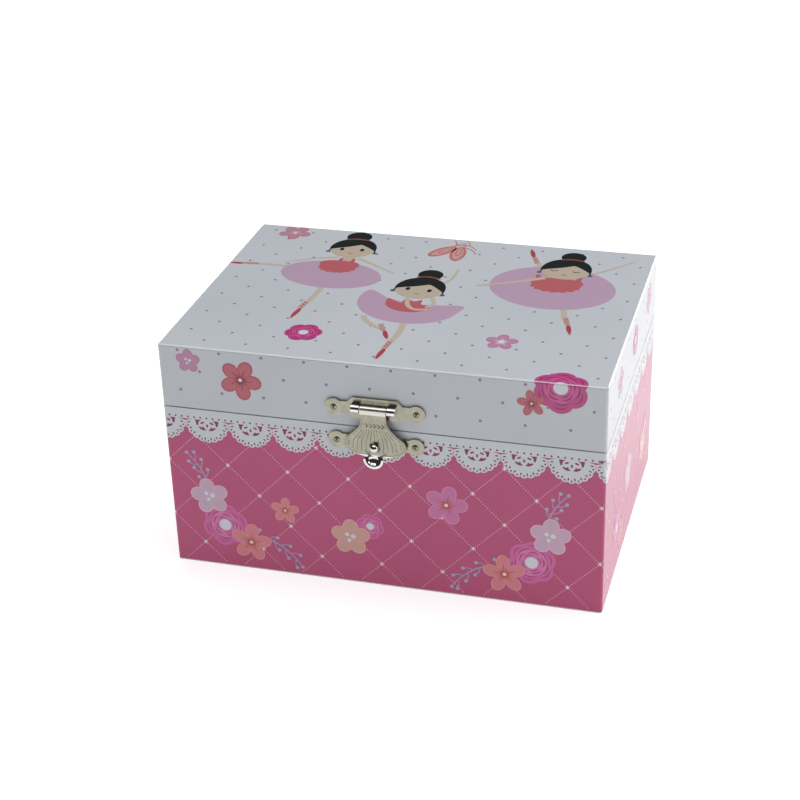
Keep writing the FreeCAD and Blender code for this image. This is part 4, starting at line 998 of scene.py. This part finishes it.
def doll_piece(name, bm, mat):
    bmesh.ops.recalc_face_normals(bm, faces=bm.faces)
    mesh = bpy.data.meshes.new(name)
    bm.to_mesh(mesh)
    bm.free()
    mesh.transform(doll_place())
    mesh.materials.append(mat)
    mesh.shade_smooth()
    obj = new_object(name, mesh)
    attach(obj, "dancer")
    return obj


def level(r, a):
    """No ripple."""
    return 0.0


def lathe(bm, profile, count=32, ripple=level, x=0.0):
    """Turns a closed (r, z) outline about the upright axis. ripple(r, angle) moves a point up or down."""
    rings = []
    for k in range(count):
        a = 2 * pi * k / count
        rings.append([bm.verts.new((*polar(x, 0, r, a), z + ripple(r, a))) for r, z in profile])
    n = len(profile)
    for ring, after in zip(rings, rings[1:] + rings[:1]):
        for i in range(n):
            j = (i + 1) % n
            bm.faces.new((ring[i], ring[j], after[j], after[i]))


def lump(bm, centre, radii, count=16):
    """An ellipsoid."""
    made = bmesh.ops.create_uvsphere(bm, u_segments=count, v_segments=count // 2 + 2, radius=1.0)
    matrix = Matrix.Translation(centre) @ Matrix.Diagonal((*radii, 1))
    bmesh.ops.transform(bm, matrix=matrix, verts=made["verts"])


def tube(bm, points, radius, sides=8):
    """A closed round tube along points."""
    rings = []
    points = [Vector(p) for p in points]
    for i, p in enumerate(points):
        along = (points[min(i + 1, len(points) - 1)] - points[max(i - 1, 0)]).normalized()
        side = along.cross(Vector((0.2, 0.9, 0.35))).normalized()
        up = side.cross(along)
        ring = []
        for k in range(sides):
            a = 2 * pi * k / sides
            ring.append(bm.verts.new(p + radius * (cos(a) * side + sin(a) * up)))
        rings.append(ring)
    for ring, after in zip(rings, rings[1:]):
        for k in range(sides):
            bm.faces.new((ring[k], ring[(k + 1) % sides], after[(k + 1) % sides], after[k]))
    bm.faces.new(rings[0][::-1])
    bm.faces.new(rings[-1])


def doll_bodice(red):
    """A bodice with a dipped neckline and two shoulder straps."""

    def dip(r, a):
        return 0.35 * cos(2 * a) if r > 2.1 else 0.0

    bm = bmesh.new()
    outer = [(2.7, 20.4), (2.35, 22.2), (1.85, 24.0), (2.25, 26.0), (2.62, 27.3)]
    inner = [(r - 0.5, z) for r, z in reversed(outer)]
    lathe(bm, outer + inner, ripple=dip)
    strap = ((1.7, -1.75, 27.2), (1.75, -1.1, 28.7), (1.7, 0.9, 28.7), (1.5, 2.0, 27.2))
    for side in (-1, 1):
        tube(bm, [(side * x, y, z) for x, y, z in strap], 0.2)
    doll_piece("dancer_bodice", bm, red)


def doll_hair(red):
    """A cap of hair cut off above the face, a bun, and a band with flowers round the bun's foot."""
    black = bumpy(material("doll_hair", (36, 32, 34), 0.4), 2600, 0.00003, stretch=(1, 5, 1))
    hair = bmesh.new()
    lump(hair, (0, 0.12, HEAD_Z + 0.12), (HEAD_R + 0.24,) * 3, 32)
    geom = hair.verts[:] + hair.edges[:] + hair.faces[:]
    brow, out_and_down = (0, -1.1, HEAD_Z + 0.8), (0, -0.8, -0.6)
    bmesh.ops.bisect_plane(hair, geom=geom, plane_co=brow, plane_no=out_and_down, clear_outer=True)
    bmesh.ops.holes_fill(hair, edges=[e for e in hair.edges if e.is_boundary])
    lump(hair, (0, 0.3, HEAD_Z + 3.95), (1.85, 1.85, 1.5), 20)
    doll_piece("dancer_hair", hair, black)

    band = bmesh.new()
    lathe(band, [(1.35 + 0.22 * cos(a), HEAD_Z + 3.0 + 0.3 * sin(a)) for a in EIGHTHS])
    for k in range(7):
        lump(band, (*polar(0, 0.2, 1.9, 2 * pi * k / 7), HEAD_Z + 2.95), (0.42, 0.42, 0.34), 10)
    doll_piece("dancer_hair_flowers", band, red)


def doll_face():
    """Two eyes, a smile and two cheeks."""
    dark = satin(mottled(material("doll_eye", (30, 26, 30), 0.3), (38, 32, 34), 900))
    blush = bumpy(mottled(material("doll_cheek", (236, 150, 150), 0.6), (232, 160, 156), 900), 900, 0.00001)
    face, cheeks = bmesh.new(), bmesh.new()
    for side in (-1, 1):
        lump(face, (side * 1.15, -2.86, HEAD_Z - 0.1), (0.3, 0.14, 0.42), 12)
        lump(cheeks, (side * 1.72, -2.4, HEAD_Z - 0.95), (0.42, 0.2, 0.32), 12)
    tube(face, [(-0.4, -2.99, HEAD_Z - 1.2), (0, -2.93, HEAD_Z - 1.36), (0.4, -2.99, HEAD_Z - 1.2)], 0.09, 6)
    doll_piece("dancer_eyes", face, dark)
    doll_piece("dancer_cheeks", cheeks, blush)


def doll_shoes(red):
    """The standing foot's shoe with two ribbons wound up the ankle, and the raised foot's shoe."""
    leg_x, ribbon_r, ribbon_low, ribbon_high = 0.7, 1.28, 4.4, 8.2
    bm = bmesh.new()
    lathe(bm, [(0.4, 1.57), (0.86, 1.57), (1.1, 3.0), (1.14, 4.4), (0.4, 4.6)], x=leg_x)
    lump(bm, (-0.2, -0.86, 11.35), (1.35, 1.12, 1.12))
    for first in (0, pi):
        ribbon = []
        for k in range(25):
            up = ribbon_low + (ribbon_high - ribbon_low) * k / 24
            ribbon.append((*polar(leg_x, 0, ribbon_r, first + 2 * pi * k / 24), up))
        tube(bm, ribbon, 0.16, 6)
    doll_piece("dancer_shoes", bm, red)


def flounce(bm, rim_r, rim_z, waist_z, folds, shift):
    """One gathered layer of tulle that droops from the waist and waves more toward its rim."""
    depth = rim_r - WAIST_R

    def ruffle(r, a):
        wave = 0.75 * ((r - WAIST_R) / depth) ** 1.3 * sin(folds * a + shift)
        return wave * (1 + 0.25 * sin(5 * a))

    top, bottom = [], []
    for k in range(9):
        t = k / 8
        r = WAIST_R + depth * t
        z = waist_z + (rim_z - waist_z) * t * t
        top.append((r, z + 0.07))
        bottom.append((r, z - 0.07))
    lathe(bm, top + bottom[::-1], 240, ruffle)


def doll_tutu():
    """Three flounces of tulle that stand in for the CAD's plain skirt."""
    tulle = material("tulle_layers", (240, 190, 214), 0.85, Sheen_Weight=0.5, Sheen_Roughness=0.4)
    bumpy(mottled(tulle, (226, 166, 198), 900), 5200, 0.00008)
    bm = bmesh.new()
    flounces = ((10.9, 19.9, 21.9, 26), (10.2, 21.2, 22.3, 23), (9.2, 22.5, 22.7, 20))
    for shift, (rim_r, rim_z, waist_z, folds) in enumerate(flounces):
        flounce(bm, rim_r, rim_z, waist_z, folds, shift)
    skirt = doll_piece("dancer_tutu_tulle", bm, tulle)
    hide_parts("dancer_tutu")


def dress_dancer():
    red = bumpy(mottled(material("doll_red", (206, 62, 78), 0.35), (190, 52, 70), 900), 1200, 0.00001)
    doll_bodice(red)
    doll_hair(red)
    doll_face()
    doll_shoes(red)
    doll_tutu()


# ---------- stage
def set_camera():
    """The camera looks down at the box from the front, a little from the right."""
    place = Vector((147.726, -533.887, 337.512)) * MM
    turn_right, tilt_down, roll = radians(16.222), radians(27.895), radians(-1.826)
    aim = Matrix.Rotation(turn_right, 4, "Z") @ Matrix.Rotation(pi / 2 - tilt_down, 4, "X")
    camera = bpy.data.cameras.new("camera")
    camera.sensor_width = 36.0
    camera.lens = 79.43
    camera.clip_start, camera.clip_end = 0.01, 20
    holder = new_object("camera", camera)
    holder.matrix_world = Matrix.Translation(place) @ aim @ Matrix.Rotation(roll, 4, "Z")
    bpy.context.scene.camera = holder


def area_light(name, place, aim, size, power):
    light = bpy.data.lights.new(name, "AREA")
    light.shape = "RECTANGLE"
    light.size, light.size_y = size
    light.energy = power
    holder = new_object(name, light)
    holder.location = place
    holder.rotation_euler = (Vector(aim) - Vector(place)).to_track_quat("-Z", "Y").to_euler()


def seen_white(tree, socket, plain):
    """Sets a strength for the scene's light. Returns the input for how much more of it the camera sees."""
    path = add_node(tree, "LightPath")
    total = add_node(tree, "Math")
    total.operation = "MULTIPLY_ADD"
    seen, extra, least = total.inputs
    least.default_value = plain
    tree.links.new(path.outputs["Is Camera Ray"], seen)
    tree.links.new(total.outputs[0], socket)
    return extra


def floor_material():
    """A pale floor that lights the box a little from below, and looks brighter with distance."""
    mat = material("floor", (235, 235, 235), 0.9, Emission_Color=(1, 1, 1, 1))
    tree = mat.node_tree
    place = add_node(tree, "NewGeometry")
    length = add_node(tree, "VectorMath")
    length.operation = "LENGTH"
    ramp = add_node(tree, "MapRange", From_Min=0.4, From_Max=1.6, To_Min=0.18, To_Max=0.6)
    tree.links.new(place.outputs["Position"], length.inputs[0])
    tree.links.new(length.outputs["Value"], ramp.inputs["Value"])
    strength = tree.nodes["Principled BSDF"].inputs["Emission Strength"]
    tree.links.new(ramp.outputs["Result"], seen_white(tree, strength, FLOOR_GLOW))
    return mat


def set_stage():
    floor = bpy.data.meshes.new("floor")
    reach = 6.0
    corners = [(-reach, -reach, 0), (reach, -reach, 0), (reach, reach, 0), (-reach, reach, 0)]
    floor.from_pydata(corners, [], [(0, 1, 2, 3)])
    floor.materials.append(floor_material())
    new_object("floor", floor)
    world = bpy.data.worlds.new("studio")
    world.use_nodes = True
    sky = world.node_tree.nodes["Background"]
    sky.inputs["Color"].default_value = (1, 1, 1, 1)
    seen_white(world.node_tree, sky.inputs["Strength"], SKY_GLOW).default_value = 1 - SKY_GLOW
    bpy.context.scene.world = world
    area_light("right", (1.1, 0.1, 0.6), (0, 0, 0.04), (0.8, 0.8), 3.6)
    area_light("back_right", (0.5, 1.3, 0.2), (0, 0, 0.04), (0.8, 0.35), 6.5)
    area_light("top", (0.0, 0.15, 1.5), (0, 0, 0), (1.9, 1.9), 21.0)
    bpy.context.scene.view_settings.view_transform = "Standard"


# ---------- materials on the CAD nodes
def paint_box():
    """The printed wraps, the boards under them, and the linings."""
    pink = grained(mottled(paper("wrap_pink", (205, 82, 132)), (199, 78, 127), 14))
    lace_rim = 0.0585
    paint(banded(pink, "Z", lace_rim, 1, (222, 228, 234)), "base_wrap")
    paint(grained(mottled(paper("wrap_grey", (217, 222, 229)), (211, 217, 224), 16)), "lid_wrap")
    board = bumpy(mottled(material("greyboard", (176, 166, 150), 0.9), (156, 146, 130), 240), 1500, 0.00003)
    paint(board, "base_floor_board", "base_front_board", "base_back_board", "base_side_boards",
          "movement_deck", "movement_partition", "deck_cleats", "lid_top_board", "lid_front_board",
          "lid_back_board", "lid_side_boards", "mirror_surround")
    paint(grained(material("foot_paper", (236, 234, 230), 0.8)), "foot_sheet")
    velour = material("velour", (206, 104, 146), 1.0, Sheen_Weight=0.6, Sheen_Roughness=0.4)
    bumpy(mottled(velour, (188, 86, 128), 420), 2600, 0.00012)
    paint(velour, "compartment_lining", "compartment_divider", "deck_lining")
    paint(grained(material("lining_paper", (238, 190, 208), 0.7)), "lid_lining")
    paint(mottled(material("mirror_glass", (240, 243, 245), 0.02, 1.0), (236, 240, 242), 30), "mirror")


def paint_latch():
    """The latch and the hinges: warm nickel, with brighter, smoother metal on the thumb tab and the lugs, and
    a painted highlight on the curl.
    """
    nickel = mottled(material("champagne_nickel", (178, 175, 157), 0.3, 1.0), (163, 161, 145), 500)
    bumpy(nickel, 1200, 0.00002)
    paint(nickel, "latch_base_plate", "hinge_base_leaves", "hinge_lid_leaves", "base_nails", "lid_nails")
    tab_top, curl_foot, lugs_back = 0.0521, 0.0676, -0.0542
    flap_metal, plate_metal = nickel.copy(), nickel.copy()
    for metal, axis, at in ((flap_metal, "Z", tab_top), (plate_metal, "Y", lugs_back)):
        banded(metal, axis, at, -1, (236, 236, 238))
        banded(metal, axis, at, -1, 0.08, "Roughness")
    # The hinge curl gets a lighter colour only: a painted highlight.
    banded(flap_metal, "Z", curl_foot, 1, (225, 222, 214))
    paint(flap_metal, "latch_flap")
    paint(plate_metal, "latch_lid_plate")
    bright = mottled(material("bright_nickel", (232, 232, 230), 0.08, 1.0), (224, 224, 220), 400)
    paint(bumpy(bright, 700, 0.000004), "latch_stud")


def paint_movement():
    """The metals and plastics of the music movement, and the pins and springs."""
    steel = satin(material("zinc_steel", (200, 200, 202), 0.3, 1.0))
    paint(steel, "latch_pin", "hinge_pins", "movement_screws", "movement_small_screws", "spring_housing",
          "cylinder_arbor", "winding_arbor", "winding_key", "governor_shaft", "governor_worm", "stop_wire")
    spring = satin(mottled(material("spring_steel", (150, 152, 160), 0.25, 1.0), (138, 140, 148), 600))
    paint(spring, "mainspring", "stop_wire_spring", "spring_lower_half", "spring_upper_half")
    brass = satin(material("brass", (214, 178, 104), 0.28, 1.0))
    paint(brass, "barrel_bridge", "cylinder_top_bearing", "governor_frame", "music_cylinder",
          "cylinder_pinion")
    paint(bumpy(material("cast_zinc", (204, 186, 130), 0.4, 0.9), 600, 0.00004), "movement_bedplate")
    comb = bumpy(material("comb_steel", (178, 182, 188), 0.3, 1.0), 900, 0.00001, stretch=(1, 1, 8))
    paint(comb, "music_comb")
    plastic = bumpy(material("acetal", (240, 238, 230), 0.45), 900, 0.00001)
    paint(plastic, "cylinder_gear", "spring_socket", "crown_wheel", "worm_wheel", "governor_fan",
          "dancer_plug", "stop_wire_bush", "stop_wire_guide")


def paint_doll():
    paint(bumpy(material("doll_skin", (244, 214, 190), 0.5), 900, 0.00001), "dancer_figure")
    paint(bumpy(material("tulle", (236, 190, 216), 0.9), 1500, 0.00006), "dancer_tutu")


paint_box()
paint_latch()
paint_movement()
paint_doll()
ink_materials = mix_inks()
print_base().lay(ink_materials)
print_lid().lay(ink_materials)
mark_latch_and_shade_nails()
bend_springs()
dress_dancer()
set_camera()
set_stage()
